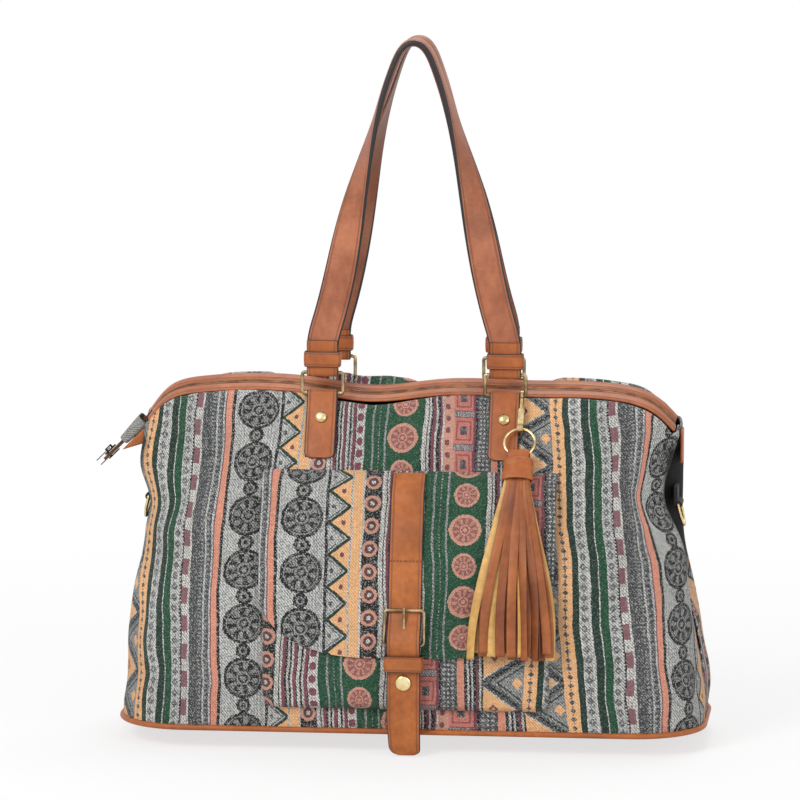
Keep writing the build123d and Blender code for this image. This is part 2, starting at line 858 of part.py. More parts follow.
def snap_hook_body():
    """Flat cast hook with a long eye, a mouth on its outer side and a round eye below."""
    outer = hook_mouth + hook_wall
    loop = Pos(hook_slot / 2, 0) * SlotCenterToCenter(hook_slot, 2 * outer)
    loop -= Pos(hook_slot / 2, 0) * SlotCenterToCenter(hook_slot, 2 * hook_mouth)
    neck = Pos((hook_slot + hook_length) / 2, 0) * Rectangle(hook_length - hook_slot - 2 * hook_mouth, 5.0)
    lower = Pos(hook_length, 0) * (Circle(hook_hole + hook_wall) - Circle(hook_hole))
    mouth = Pos((gate_start + hook_slot) / 2, gate_side * (hook_mouth + hook_wall / 2)) * Rectangle(
        hook_slot - gate_start, hook_wall + 0.6
    )
    plate = loop + neck - Pos(hook_length, 0) * Circle(hook_hole) + lower - mouth
    return hook_plane * extrude(plate, amount=hook_thickness / 2, both=True)


def hook_gate_lever():
    """Spring gate that closes the hook's mouth and swings inwards about its lower end."""
    start = gate_start + layer_gap
    end = hook_slot - layer_gap
    y = gate_side * (hook_mouth + hook_wall / 2)
    lever = Pos((start + end) / 2, y) * RectangleRounded(end - start, hook_wall, 0.8)
    return hook_plane * extrude(lever, amount=hook_thickness / 2, both=True)


snap_hook = snap_hook_body()
hook_gate = hook_gate_lever()
ring_radius = split_ring_wire / 2
ring_hang = hook_length + hook_hole - ring_radius - hinge_clearance


def at_hang(distance):
    """A point down the line of the hook, from the bar that it hangs on."""
    return Vector(hook_x, -eye_depth, front_eye_height) + hang_down * distance


def split_ring():
    centre = at_hang(ring_hang + split_ring_radius)
    normal = hang_down.cross(Vector(1, 0, 0))
    return Plane(origin=centre, x_dir=(1, 0, 0), z_dir=normal) * Torus(split_ring_radius, ring_radius)


tassel_ring = split_ring()
ring_bottom = ring_hang + 2 * split_ring_radius
loop_width = 20.0
loop_wall = 1.8
loop_clearance = 0.8  # the strip hangs loosely on the round ring
wire_lift = split_ring_radius - (split_ring_radius**2 - (loop_width / 2 + 0.5) ** 2) ** 0.5
head_start = ring_bottom + ring_radius + loop_wall + 1.5
head_plane = Plane(origin=at_hang(0), x_dir=hang_down, z_dir=(1, 0, 0))


def tassel_loop_strip():
    """Leather strip through the split ring, gathered into the head below."""
    inner_start = ring_bottom - wire_lift - ring_radius - layer_gap
    inner_end = ring_bottom + ring_radius + loop_clearance
    inner_half = ring_radius + loop_clearance
    slot_length = inner_end - inner_start - 2 * inner_half
    middle = (inner_start + inner_end) / 2
    eye = Pos(middle, 0) * (
        SlotCenterToCenter(slot_length, 2 * (inner_half + loop_wall)) - SlotCenterToCenter(slot_length, 2 * inner_half)
    )
    root = Pos((inner_end + head_start + 8.0) / 2 + 0.6, 0) * Rectangle(head_start + 8.0 - inner_end - 1.2, 5.0)
    return head_plane * extrude(eye + root, amount=loop_width / 2, both=True)


tassel_loop = tassel_loop_strip()
head_end = head_start + tassel_head_length


def tassel_head_wrap():
    """Leather wrap round the top of the tassel, open below."""
    frame = Plane(origin=at_hang(head_start), x_dir=(1, 0, 0), z_dir=hang_down)
    outline = Ellipse(tassel_head_width / 2, tassel_head_depth / 2)
    inside = Ellipse(tassel_head_width / 2 - 1.6, tassel_head_depth / 2 - 1.6)
    body = extrude(outline, amount=tassel_head_length) - Pos(0, 0, 1.8) * extrude(inside, amount=tassel_head_length)
    mouth = Box(loop_width + 2 * layer_gap, 5.0 + 2 * layer_gap, 10.0)
    return frame * (body - mouth)


tassel_head = tassel_head_wrap()


def fringe_line():
    """Side view of the fringe, lying on the flap, as (depth, height)."""
    start = at_hang(head_start + 9.5)
    end = at_hang(head_end)
    rest = flap_far + 8.5
    return Spline(
        (start.Y, start.Z),
        (end.Y, end.Z),
        (front_y(200.0, rest), 200.0),
        (front_y(150.0, rest), 150.0),
        (front_y(110.0, rest), 110.0),
        (front_y(tassel_bottom, rest), tassel_bottom),
    )


def fringe_strip(line, number, row):
    """One cut strip, narrow at the head and spread below."""
    share = 2 * number / (fringe_strips - 1) - 1
    row_shift = row * (fringe_strip_thickness + 1.4) / 2
    wires = []
    for step in (0.0, 0.11, 0.2, 0.4, 0.7, 1.0):
        point = line @ step
        along = line % step
        opening = clamp((step - 0.11) / 0.89) ** 0.85
        spread = blend((tassel_head_width - 12.0) / 2, (fringe_spread - fringe_strip_width) / 2, opening) * share
        spread += row * 2.2 * step
        normal = Vector(0, -along.Y, along.X)
        origin = Vector(hook_x + spread, point.X, point.Y) + normal * row_shift
        plane = Plane(origin=origin, x_dir=(1, 0, 0), z_dir=(0, along.X, along.Y))
        width = blend(4.0, fringe_strip_width, clamp(step * 4))
        wires.append((plane * Rectangle(width, fringe_strip_thickness)).wire())
    return Solid.make_loft(wires)


def fringe():
    """The rolled leather inside the head and the strips cut from it."""
    frame = Plane(origin=at_hang(head_start + 8.5), x_dir=(1, 0, 0), z_dir=hang_down)
    core = frame * extrude(Ellipse(tassel_head_width / 2 - 1.9, tassel_head_depth / 2 - 1.9), amount=12.0)
    line = fringe_line()
    strips = [fringe_strip(line, number, row) for row in (-1, 1) for number in range(fringe_strips)]
    for strip in strips:
        core = core + strip
    return core


tassel_fringe = fringe()

# Shoulder strap rings
d_ring_radius = d_ring_wire / 2
side_eye_inner = d_ring_radius + hinge_clearance
side_eye_outer = side_eye_inner + eye_wall


d_ring_half = side_tab_width / 2 + d_ring_radius + 0.8


def end_surface_x(z, y, direction):
    """How far out the folded end of the bag reaches at a height and a distance from the middle plane."""
    waist = waist_right if direction > 0 else waist_left
    return half_length_at(z, waist) - end_fold_at(z) * (1 - y / end_half_depth_at(z))


def side_eye_x(direction):
    wire_end = d_ring_half + d_ring_radius
    reach = end_surface_x(d_ring_hinge_height, wire_end, direction)
    return direction * (reach + d_ring_radius + 2 * layer_gap)


def side_tab(direction):
    """Doubled webbing, sewn across the fold of the end, with a loop below that carries a D-ring."""
    seam = end_surface_x(d_ring_hinge_height + side_tab_height, side_tab_width / 2, direction)
    thickness = abs(side_eye_x(direction)) - seam - layer_gap - 0.6
    plate = Pos(-0.6 - thickness / 2, side_tab_height / 2) * Rectangle(thickness, side_tab_height)
    drawing = plate + Circle(side_eye_outer) - Circle(side_eye_inner)
    strip = extrude(Plane.XZ * drawing, amount=side_tab_width / 2, both=True)
    if direction < 0:
        strip = mirror(strip, about=Plane.YZ)
    return Pos(side_eye_x(direction), 0, d_ring_hinge_height) * strip


def d_ring(direction):
    half = d_ring_half
    straight = Line((-half, 0), (half, 0))
    bow = Spline(
        (half, 0),
        (half * 0.82, -d_ring_drop * 0.62),
        (0, -d_ring_drop),
        (-half * 0.82, -d_ring_drop * 0.62),
        (-half, 0),
        tangents=[(0.1, -1), (0.1, 1)],
    )
    bow_wire = sweep(Plane(origin=bow @ 0, z_dir=bow % 0) * Circle(d_ring_radius), path=bow)
    bar_rod = sweep(Plane(origin=straight @ 0, z_dir=straight % 0) * Circle(d_ring_radius), path=straight)
    ends = [Pos(end, 0) * Sphere(d_ring_radius) for end in (half, -half)]
    ring = bow_wire + bar_rod + ends
    frame = Plane(origin=(0, 0, 0), x_dir=(0, 1, 0), z_dir=(1, 0, 0))
    hung = Rot(0, -direction * d_ring_tilt, 0) * (frame * ring)
    return Pos(side_eye_x(direction), 0, d_ring_hinge_height) * hung


nodes = {
    "front_panel": front_panel,
    "back_panel": back_panel,
    "lining": lining_bag(),
    "base_panel": base_panel,
    "base_piping": base_piping,
    "base_board": base_board,
    "front_binding": front_binding,
    "back_binding": back_binding,
    "zip_tape": zip_tape,
    "zip_teeth": zip_teeth,
    "zip_slider": slider(),
    "zip_pull": pull(),
    "zip_tail_cover": zip_tail_cover,
    "zip_tail_patch": zip_tail_patch,
    "right_zip_end_patch": right_zip_end_patch,
    "pocket_body": pocket_body,
    "pocket_flap": pocket_flap,
    "flap_strap": flap_strap,
    "buckle_strap": buckle_strap,
    "buckle_frame": buckle_frame,
    "buckle_prong": buckle_prong,
    "strap_keeper": strap_keeper,
    "snap_stud": snap_stud,
    **hardware,
    "snap_hook": snap_hook,
    "hook_gate": hook_gate,
    "tassel_ring": tassel_ring,
    "tassel_loop": tassel_loop,
    "tassel_head": tassel_head,
    "tassel_fringe": tassel_fringe,
    "right_side_tab": side_tab(1),
    "left_side_tab": side_tab(-1),
    "right_d_ring": d_ring(1),
    "left_d_ring": d_ring(-1),
}

for name, shape in nodes.items():
    export_step(shape, f"parts/{name}.step")
    print(name, round(shape.volume), len(shape.solids()))
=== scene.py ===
import math
import bpy
import bmesh
import numpy as np
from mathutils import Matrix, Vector, noise


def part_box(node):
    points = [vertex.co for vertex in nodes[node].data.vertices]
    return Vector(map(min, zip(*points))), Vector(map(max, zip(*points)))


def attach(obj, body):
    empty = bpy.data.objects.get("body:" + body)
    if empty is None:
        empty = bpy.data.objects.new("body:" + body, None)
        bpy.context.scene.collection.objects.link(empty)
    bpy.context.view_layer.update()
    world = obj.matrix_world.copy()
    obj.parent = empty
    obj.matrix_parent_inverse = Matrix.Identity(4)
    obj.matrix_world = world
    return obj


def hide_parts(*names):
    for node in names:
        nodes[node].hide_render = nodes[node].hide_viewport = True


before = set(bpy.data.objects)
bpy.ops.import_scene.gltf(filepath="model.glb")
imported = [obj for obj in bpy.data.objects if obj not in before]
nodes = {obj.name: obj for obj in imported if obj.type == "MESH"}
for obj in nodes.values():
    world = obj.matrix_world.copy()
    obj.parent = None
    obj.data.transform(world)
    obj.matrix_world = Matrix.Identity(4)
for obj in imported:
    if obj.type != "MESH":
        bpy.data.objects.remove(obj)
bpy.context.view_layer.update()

mm = 0.001
print("stage: frame loaded")

viewSetup = {
    "azimuth": 6.0,  # degrees
    "elevation": 8.0,
    "distance": 5.0,
    "widthSeen": 0.72,  # metres of the object's plane across the picture
    "aimRight": -0.01485,
    "aimUp": 0.29805,
}


def makeCamera():
    a = math.radians(viewSetup["azimuth"])
    e = math.radians(viewSetup["elevation"])
    back = Vector((math.sin(a) * math.cos(e), -math.cos(a) * math.cos(e), math.sin(e)))
    right = Vector((math.cos(a), math.sin(a), 0))
    up = back.cross(right)
    data = bpy.data.cameras.new("camera")
    data.lens = data.sensor_width * viewSetup["distance"] / viewSetup["widthSeen"]
    data.clip_end = 50.0
    camera = bpy.data.objects.new("camera", data)
    camera.location = right * viewSetup["aimRight"] + up * viewSetup["aimUp"] + back * viewSetup["distance"]
    camera.rotation_mode = "QUATERNION"
    camera.rotation_quaternion = (-back).to_track_quat("-Z", "Y")
    bpy.context.scene.collection.objects.link(camera)
    bpy.context.scene.camera = camera


# Shader helpers: a Signal is a number in a node tree, and its operators add the maths nodes


class Signal:
    def __init__(self, tree, socket):
        self.tree = tree
        self.socket = socket

    def apply(self, operation, *others):
        node = addNode(self.tree, "ShaderNodeMath", operation=operation)
        for socket, value in zip(node.inputs, (self, *others)):
            feed(self.tree, socket, value)
        return Signal(self.tree, node.outputs[0])

    def __add__(self, other):
        return self.apply("ADD", other)

    def __sub__(self, other):
        return self.apply("SUBTRACT", other)

    def __mul__(self, other):
        return self.apply("MULTIPLY", other)

    def __truediv__(self, other):
        return self.apply("DIVIDE", other)

    def __mod__(self, other):
        return self.apply("FLOORED_MODULO", other)

    def __lt__(self, other):
        return self.apply("LESS_THAN", other)

    def __gt__(self, other):
        return self.apply("GREATER_THAN", other)

    def __abs__(self):
        return self.apply("ABSOLUTE")

    def within(self, low, high):
        return (self > low) * (self < high)


def linear(red, green, blue):
    def one(value):
        value /= 255.0
        return value / 12.92 if value <= 0.04045 else ((value + 0.055) / 1.055) ** 2.4
    return (one(red), one(green), one(blue), 1.0)


def addNode(tree, kind, **settings):
    node = tree.nodes.new(kind)
    for name, value in settings.items():
        setattr(node, name, value)
    return node


def feed(tree, socket, value):
    if isinstance(value, Signal):
        value = value.socket
    if isinstance(value, bpy.types.NodeSocket):
        tree.links.new(value, socket)
    else:
        socket.default_value = value


def split(tree, vector):
    node = addNode(tree, "ShaderNodeSeparateXYZ")
    feed(tree, node.inputs[0], vector)
    return [Signal(tree, output) for output in node.outputs]


def mixColour(tree, mask, first, second, kind="MIX"):
    node = addNode(tree, "ShaderNodeMix", data_type="RGBA", blend_type=kind)
    feed(tree, node.inputs[0], mask)
    feed(tree, node.inputs[6], first)
    feed(tree, node.inputs[7], second)
    return node.outputs[2]


def remap(tree, value, inLow, inHigh, outLow, outHigh):
    node = addNode(tree, "ShaderNodeMapRange")
    for socket, given in zip(node.inputs, (value, inLow, inHigh, outLow, outHigh)):
        feed(tree, socket, given)
    return Signal(tree, node.outputs[0])


def greyLevel(tree, value, low, high):
    node = addNode(tree, "ShaderNodeCombineColor")
    level = remap(tree, value, 0.25, 0.75, low, high)
    for socket in node.inputs[:3]:
        feed(tree, socket, level)
    return node.outputs[0]


def noiseAt(tree, vector, scale, detail=2.0, roughness=0.5):
    node = addNode(tree, "ShaderNodeTexNoise")
    feed(tree, node.inputs["Vector"], vector)
    node.inputs["Scale"].default_value = scale
    node.inputs["Detail"].default_value = detail
    node.inputs["Roughness"].default_value = roughness
    return Signal(tree, node.outputs["Fac"])


def ramp(tree, value, stops):
    node = addNode(tree, "ShaderNodeValToRGB")
    node.color_ramp.interpolation = "CONSTANT"
    feed(tree, node.inputs[0], value)
    elements = node.color_ramp.elements
    while len(elements) < len(stops):
        elements.new(1.0)
    for element, (position, colour) in zip(elements, stops):
        element.position = position
        element.color = colour
    return node.outputs[0]


def newGroup(name, inputs, outputs):
    tree = bpy.data.node_groups.new(name, "ShaderNodeTree")
    for label, kind in inputs.items():
        tree.interface.new_socket(name=label, in_out="INPUT", socket_type=f"NodeSocket{kind}")
    for label, kind in outputs.items():
        tree.interface.new_socket(name=label, in_out="OUTPUT", socket_type=f"NodeSocket{kind}")
    start = tree.nodes.new("NodeGroupInput")
    end = tree.nodes.new("NodeGroupOutput")
    return tree, start.outputs, end.inputs


def newMaterial(name):
    material = bpy.data.materials.new(name)
    material.use_nodes = True
    tree = material.node_tree
    shader = tree.nodes["Principled BSDF"]
    return material, tree, shader


def bumpInto(tree, shader, height, distance, strength=1.0):
    node = addNode(tree, "ShaderNodeBump")
    node.inputs["Strength"].default_value = strength
    node.inputs["Distance"].default_value = distance
    feed(tree, node.inputs["Height"], height)
    tree.links.new(node.outputs["Normal"], shader.inputs["Normal"])


def objectCoords(tree):
    return addNode(tree, "ShaderNodeTexCoord").outputs["Object"]


def flatCoords(tree):
    return addNode(tree, "ShaderNodeUVMap", uv_map="flat").outputs["UV"]


# The print: stripes, medallions, triangles, rosettes, framed squares and zigzags

threads = {"across": 0.9, "along": 0.75}  # mm between woven steps
unit = 0.9  # mm; the print's places are counted in these
repeatWidth = 441.0

tones = {
    "white": linear(202, 200, 194),
    "pale": linear(186, 187, 184),
    "grey": linear(142, 143, 142),
    "smoke": linear(84, 86, 88),
    "black": linear(40, 40, 42),
    "green": linear(36, 80, 56),
    "pine": linear(36, 58, 50),
    "orange": linear(238, 184, 132),
    "salmon": linear(222, 152, 128),
    "maroon": linear(126, 72, 84),
    "pink": linear(206, 124, 112),
    "rose": linear(206, 152, 132),
    "plum": linear(150, 94, 90),
}

# Stripes of even colour, each from its place to the next one's
leftColumns = (
    (0, "orange"), (11.5, "pine"), (17.5, "white"), (19, "pale"), (27, "white"), (28.5, "pine"),
    (35, "white"), (36.3, "green"), (44, "pale"), (53, "black"), (54.2, "white"), (63, "smoke"),
    (71, "white"), (72, "smoke"), (77, "pale"), (78, "smoke"), (83.5, "pale"), (84.5, "maroon"),
    (86.5, "salmon"), (92, "black"), (96, "pale"), (141, "black"), (143, "pale"), (165.5, "white"),
    (167, "orange"), (176.5, "white"), (178, "black"), (196.5, "white"),
)
lineColumns = (
    (0, "white"), (3.5, "black"), (5, "white"), (7.5, "maroon"), (10, "black"), (11.5, "pale"),
    (14, "black"), (15.5, "white"), (18, "maroon"), (21, "black"), (22.5, "white"), (25, "black"),
    (26.5, "pale"), (29, "maroon"), (31.5, "black"), (32.5, "white"),
)
rightColumns = (
    (0, "black"), (239, "green"), (298, "black"), (299.5, "white"), (302, "black"), (304, "white"),
    (305.5, "black"), (307.5, "maroon"), (311, "white"), (313, "black"), (315.5, "maroon"),
    (317.5, "white"), (319, "rose"), (331, "maroon"), (355, "white"), (356.5, "black"), (358, "smoke"),
    (374, "black"), (375, "salmon"), (382, "black"), (384.5, "white"), (386, "black"), (388.5, "pale"),
    (390.5, "black"), (393, "maroon"), (395, "black"), (397, "white"), (399, "black"), (400, "orange"),
)
linesFrom, linesWidth, rightFrom = 196.5, 60.0, 239.0


def tapestryGroup():
    results = {"Colour": "Color", "Height": "Float"}
    tree, given, made = newGroup("tapestryPrint", {"Vector": "Vector"}, results)
    vector = given["Vector"]
    flatX, flatY = [axis * 1000.0 for axis in split(tree, vector)[:2]]
    ragged = noiseAt(tree, vector, 380.0) - 0.5  # edges step from thread to thread, and stripes waver
    wanderX = flatX + (noiseAt(tree, vector, 16.0) - 0.5) * 9.0 + ragged * 1.3
    stepX = wanderX.apply("SNAP", threads["across"])
    stepY = (flatY + ragged * 1.6).apply("SNAP", threads["along"])
    place = stepX / unit % repeatWidth
    upward = stepY / unit

    def columnRamp(columns, width=repeatWidth, start=0.0):
        return ramp(tree, (place - start) / width, [(at / width, tones[tone]) for at, tone in columns])

    lines = columnRamp(lineColumns, linesWidth, linesFrom)
    colour = mixColour(tree, place > linesFrom, columnRamp(leftColumns), lines)
    colour = mixColour(tree, place > rightFrom, colour, columnRamp(rightColumns))

    def alongBy(pitch, phase=0.0):
        return (upward + (phase + pitch / 2)) % pitch - pitch / 2

    def distance(dx, dy):
        return (dx * dx + dy * dy).apply("SQRT")

    def lozenge(dx, dy, halfX, halfY):
        return abs(dx) / halfX + abs(dy) / halfY

    def paint(mask, tone, strength=1.0):
        nonlocal colour
        if strength < 1.0:
            mask = mask * strength
        colour = mixColour(tree, mask, colour, tones[tone] if isinstance(tone, str) else tone)

    # orange stripe with small dark diamonds
    paint(lozenge(place - 5.8, alongBy(8.5), 2.7, 3.0) < 1.0, "smoke")
    paint(distance(place - 5.8, alongBy(8.5, 4.25)) < 0.9, "maroon")
    # pale stripes with grey diamonds, and a stripe of maroon dashes
    for centre, half, pitch in ((23.0, 3.6, 10.5), (48.5, 3.4, 10.5)):
        paint(lozenge(place - centre, alongBy(pitch), half, 4.2).within(0.3, 1.0), "smoke", 0.85)
    paint(place.within(53.0, 54.2) * (abs(alongBy(3.4)) < 0.8), "white")
    paint(place.within(55.8, 61.8) * (abs(alongBy(28.0)) < 8.0), "maroon", 0.9)
    for centre, pitch in ((74.5, 4.0), (80.8, 5.0)):
        paint(lozenge(place - centre, alongBy(pitch), 2.4, 1.4) < 1.0, "grey")

    def flower(centre, dy, radius, petals, dark, light, rim):
        dx = place - centre
        reach = distance(dx, dy) / radius
        lobes = (dx.apply("ARCTAN2", dy) * float(petals)).apply("SINE")
        disc = ramp(tree, reach, [
            (0.0, light), (0.13, dark), (0.24, light), (0.34, dark), (0.78, light), (0.84, rim), (0.999, rim),
        ])
        return reach < 1.0, disc, reach.within(0.40, 0.74) * (lobes > 0.1)

    # grey band of medallions with small flowers between them
    black, grey = tones["black"], tones["grey"]
    inside, disc, petal = flower(119.5, alongBy(54.7), 20.5, 8, black, grey, black)
    paint(inside, disc)
    paint(petal, "grey")
    paint(inside * abs(place - 119.5).within(9.0, 10.5), "smoke", 0.5)
    bud = distance(place - 119.5, alongBy(54.7, 27.35))
    paint(bud < 7.6, "black")
    paint(bud.within(2.4, 4.4), "grey")
    for edge in (130.0, 133.5, 137.0):
        paint(place.within(edge, edge + 1.1), "smoke", 0.35)

    # triangles that point left, each with a dark dot, beside a plain orange band
    slope = (place - 145.0) / 20.0 - abs(alongBy(31.8, 4.4)) / 15.9
    field = place.within(143.0, 165.5)
    paint(field * (slope > 0.12), "orange")
    paint(field * slope.within(-0.12, 0.12), "pine")
    paint(field * slope.within(-0.30, -0.22), "smoke")
    paint(distance(place - 158.5, alongBy(31.8, 4.4)) < 2.5, "maroon")
    paint(distance(place - 148.5, alongBy(31.8, 20.3)) < 2.2, "smoke")

    # dark band of small rings
    ring = distance(place - 187.3, alongBy(22.6, 7.4))
    paint(ring.within(5.0, 8.0), "rose")
    paint(ring < 2.2, "white")
    paint(ring.within(2.2, 5.0), "plum", 0.35)

    # white band of maroon dots
    paint(place.within(229.0, 239.0), "white")
    paint(distance(place - 234.0, alongBy(12.7)) < 4.0, "maroon")

    # rosettes on green beside thin grey lines
    for line in (248.5, 261.5):
        paint(place.within(line - 0.7, line + 0.7), "grey")
    paint(place.within(254.2, 255.8) * (abs(alongBy(3.6)) < 1.0), "grey")
    plum, rose = tones["plum"], tones["rose"]
    for phase, radius in ((10.0, 15.6), (45.2, 12.6)):
        inside, disc, petal = flower(279.5, alongBy(70.4, phase), radius, 10, plum, rose, rose)
        paint(inside, disc)
        paint(petal, "rose", 0.7)

    # rose band of dots, then framed squares
    paint(distance(place - 325.0, alongBy(12.7)) < 3.0, "maroon")
    field = place.within(331.0, 355.0)
    square = abs(place - 343.0).apply("MAXIMUM", abs(alongBy(35.0)) * 0.82)
    for tone, half in (("pink", 11.0), ("plum", 8.8), ("pink", 7.0), ("smoke", 3.6)):
        paint(field * (square < half), tone)
    paint(field * (abs(alongBy(35.0)) > 14.8), "grey")
    for centre in (362.0, 366.5, 371.0):
        paint(lozenge(place - centre, alongBy(4.6), 1.6, 1.5) < 1.0, "pale")

    # wide zigzag of dark bands between orange fields, with a diamond inside each
    field = place.within(400.0, 441.0)
    arm = abs(alongBy(54.7, 26.0)) / 27.35 - (place - 402.0) / 40.0
    paint(field * (arm < 0.20), "white")
    paint(field * (arm < 0.15), "smoke")
    paint(field * arm.within(-0.06, 0.02), "black")
    paint(field * (arm < -0.16), "grey")
    paint(field * arm.within(-0.34, -0.28), "pine")
    paint(field * (lozenge(place - 434.0, alongBy(54.7, 26.0), 5.5, 6.0) < 1.0), "orange")
    paint(field * lozenge(place - 412.0, alongBy(54.7, 53.35), 5.0, 6.5).within(0.45, 1.0), "maroon")

    # threads differ in tone, most of all in the undyed stripes
    cell = addNode(tree, "ShaderNodeCombineXYZ")
    feed(tree, cell.inputs[0], stepX / threads["across"])
    feed(tree, cell.inputs[1], stepY / threads["along"])
    chance = addNode(tree, "ShaderNodeTexWhiteNoise", noise_dimensions="2D")
    tree.links.new(cell.outputs[0], chance.inputs["Vector"])
    luck = Signal(tree, chance.outputs["Value"])
    parts = addNode(tree, "ShaderNodeSeparateColor", mode="HSV")
    tree.links.new(colour, parts.inputs[0])
    undyed = remap(tree, parts.outputs[1], 0.10, 0.45, 1.0, 0.30)
    colour = mixColour(tree, (luck < 0.25) * 0.56 * undyed, colour, black)
    colour = mixColour(tree, (luck > 0.78) * 0.4 * undyed, colour, tones["white"])
    streak = addNode(tree, "ShaderNodeMapping")
    tree.links.new(vector, streak.inputs["Vector"])
    streak.inputs["Scale"].default_value = (1.0, 5.0, 1.0)
    streaks = noiseAt(tree, streak.outputs[0], 190.0)
    colour = mixColour(tree, 0.5, colour, greyLevel(tree, streaks, 0.55, 1.35), "MULTIPLY")
    slant = ((flatX + flatY * 0.8) * (2 * math.pi / 2.5)).apply("SINE")
    rib = (flatX * (2 * math.pi / 2.7)).apply("SINE")
    twill = greyLevel(tree, slant * 0.16 + rib * 0.05 + 0.5, 0.42, 1.58)
    colour = mixColour(tree, undyed * 0.75 + 0.2, colour, twill, "MULTIPLY")
    worn = noiseAt(tree, vector, 14.0, 3.0)
    colour = mixColour(tree, 0.6, colour, greyLevel(tree, worn, 0.78, 1.18), "MULTIPLY")
    tree.links.new(colour, made["Colour"])
    crossing = (flatX * (2 * math.pi / 1.8)).apply("SINE") * (flatY * (2 * math.pi / 1.5)).apply("SINE")
    feed(tree, made["Height"], crossing * 0.35 + luck * 0.5 + streaks * 0.9)
    return tree


tapestry = tapestryGroup()
foldShade = {  # metres: where painted shade darkens the folds at both ends nearly to black, each from full to none
    "depth": (0.024, 0.033), "low": (0.165, 0.135), "high": (0.262, 0.270), "outer": (0.204, 0.198),
}


def printMaterial(name, stretch, shiftX, shiftY, shadedFolds=False):
    material, tree, shader = newMaterial(name)
    place = addNode(tree, "ShaderNodeMapping")
    tree.links.new(flatCoords(tree), place.inputs["Vector"])
    place.inputs["Scale"].default_value = (stretch, 1.0, 1.0)
    place.inputs["Location"].default_value = (shiftX * mm, shiftY * mm, 0)
    pattern = addNode(tree, "ShaderNodeGroup", node_tree=tapestry)
    tree.links.new(place.outputs[0], pattern.inputs["Vector"])
    colour = pattern.outputs["Colour"]
    if shadedFolds:
        # painted shade: the print inside the deep folds at both ends is darkened nearly to black
        x, y, z = split(tree, objectCoords(tree))
        mask = remap(tree, abs(y), *foldShade["depth"], 1.0, 0.0)
        mask = mask * remap(tree, z, *foldShade["low"], 1.0, 0.0)
        mask = mask * remap(tree, z, *foldShade["high"], 1.0, 0.0)
        mask = mask * remap(tree, abs(x), *foldShade["outer"], 1.0, 0.0)
        colour = mixColour(tree, mask, colour, linear(26, 24, 24))
    tree.links.new(colour, shader.inputs["Base Color"])
    shader.inputs["Roughness"].default_value = 0.9
    shader.inputs["Sheen Weight"].default_value = 0.08
    shader.inputs["Specular IOR Level"].default_value = 0.25
    bumpInto(tree, shader, pattern.outputs["Height"], 0.0006, 0.9)
    return material


bodyPrint = printMaterial("bodyPrint", 1.0238, 260.3, -162.5, shadedFolds=True)
flapPrint = printMaterial("flapPrint", 1.0, 200.5, -197.0)
pocketPrint = printMaterial("pocketPrint", 1.0, 291.6, -88.6)

# Leather, cloth, metal and board


def leatherGroup():
    given = {"Vector": "Vector", "Tone": "Color", "Deep": "Color"}
    results = {"Colour": "Color", "Roughness": "Float", "Height": "Float"}
    tree, given, made = newGroup("leatherGrain", given, results)
    pores = addNode(tree, "ShaderNodeTexVoronoi")
    tree.links.new(given["Vector"], pores.inputs["Vector"])
    pores.inputs["Scale"].default_value = 620.0
    cloudy = noiseAt(tree, given["Vector"], 26.0, 4.0, 0.6)
    fine = noiseAt(tree, given["Vector"], 210.0, 3.0)
    colour = mixColour(tree, remap(tree, cloudy, 0.36, 0.66, 0.0, 1.0), given["Deep"], given["Tone"])
    colour = mixColour(tree, 0.35, colour, greyLevel(tree, fine, 0.6, 1.35), "MULTIPLY")
    tree.links.new(colour, made["Colour"])
    feed(tree, made["Roughness"], fine * 0.22 + 0.34)
    feed(tree, made["Height"], Signal(tree, pores.outputs["Distance"]) * 0.6 + fine * 0.5)
    return tree


leather = leatherGroup()
leatherTones = {
    "tan": (linear(182, 104, 54), linear(154, 84, 42)),
    "paleTan": (linear(184, 112, 72), linear(156, 88, 56)),
    "amber": (linear(180, 104, 52), linear(152, 84, 40)),
    "russet": (linear(180, 112, 80), linear(148, 86, 60)),
    "fringeLight": (linear(168, 98, 54), linear(140, 78, 42)),
    "fringeDeep": (linear(148, 82, 44), linear(116, 62, 34)),
    "fringeReverse": (linear(222, 178, 108), linear(198, 150, 82)),
}
edgePaint = linear(40, 38, 40)
stitching = {"half": 0.42, "pitch": 3.6, "length": 2.5, "groove": 1.1, "shade": 0.8}  # mm
crossSeam = {"half": 0.0009, "pitch": 3.0, "length": 2.2}  # half in metres, the rest in mm


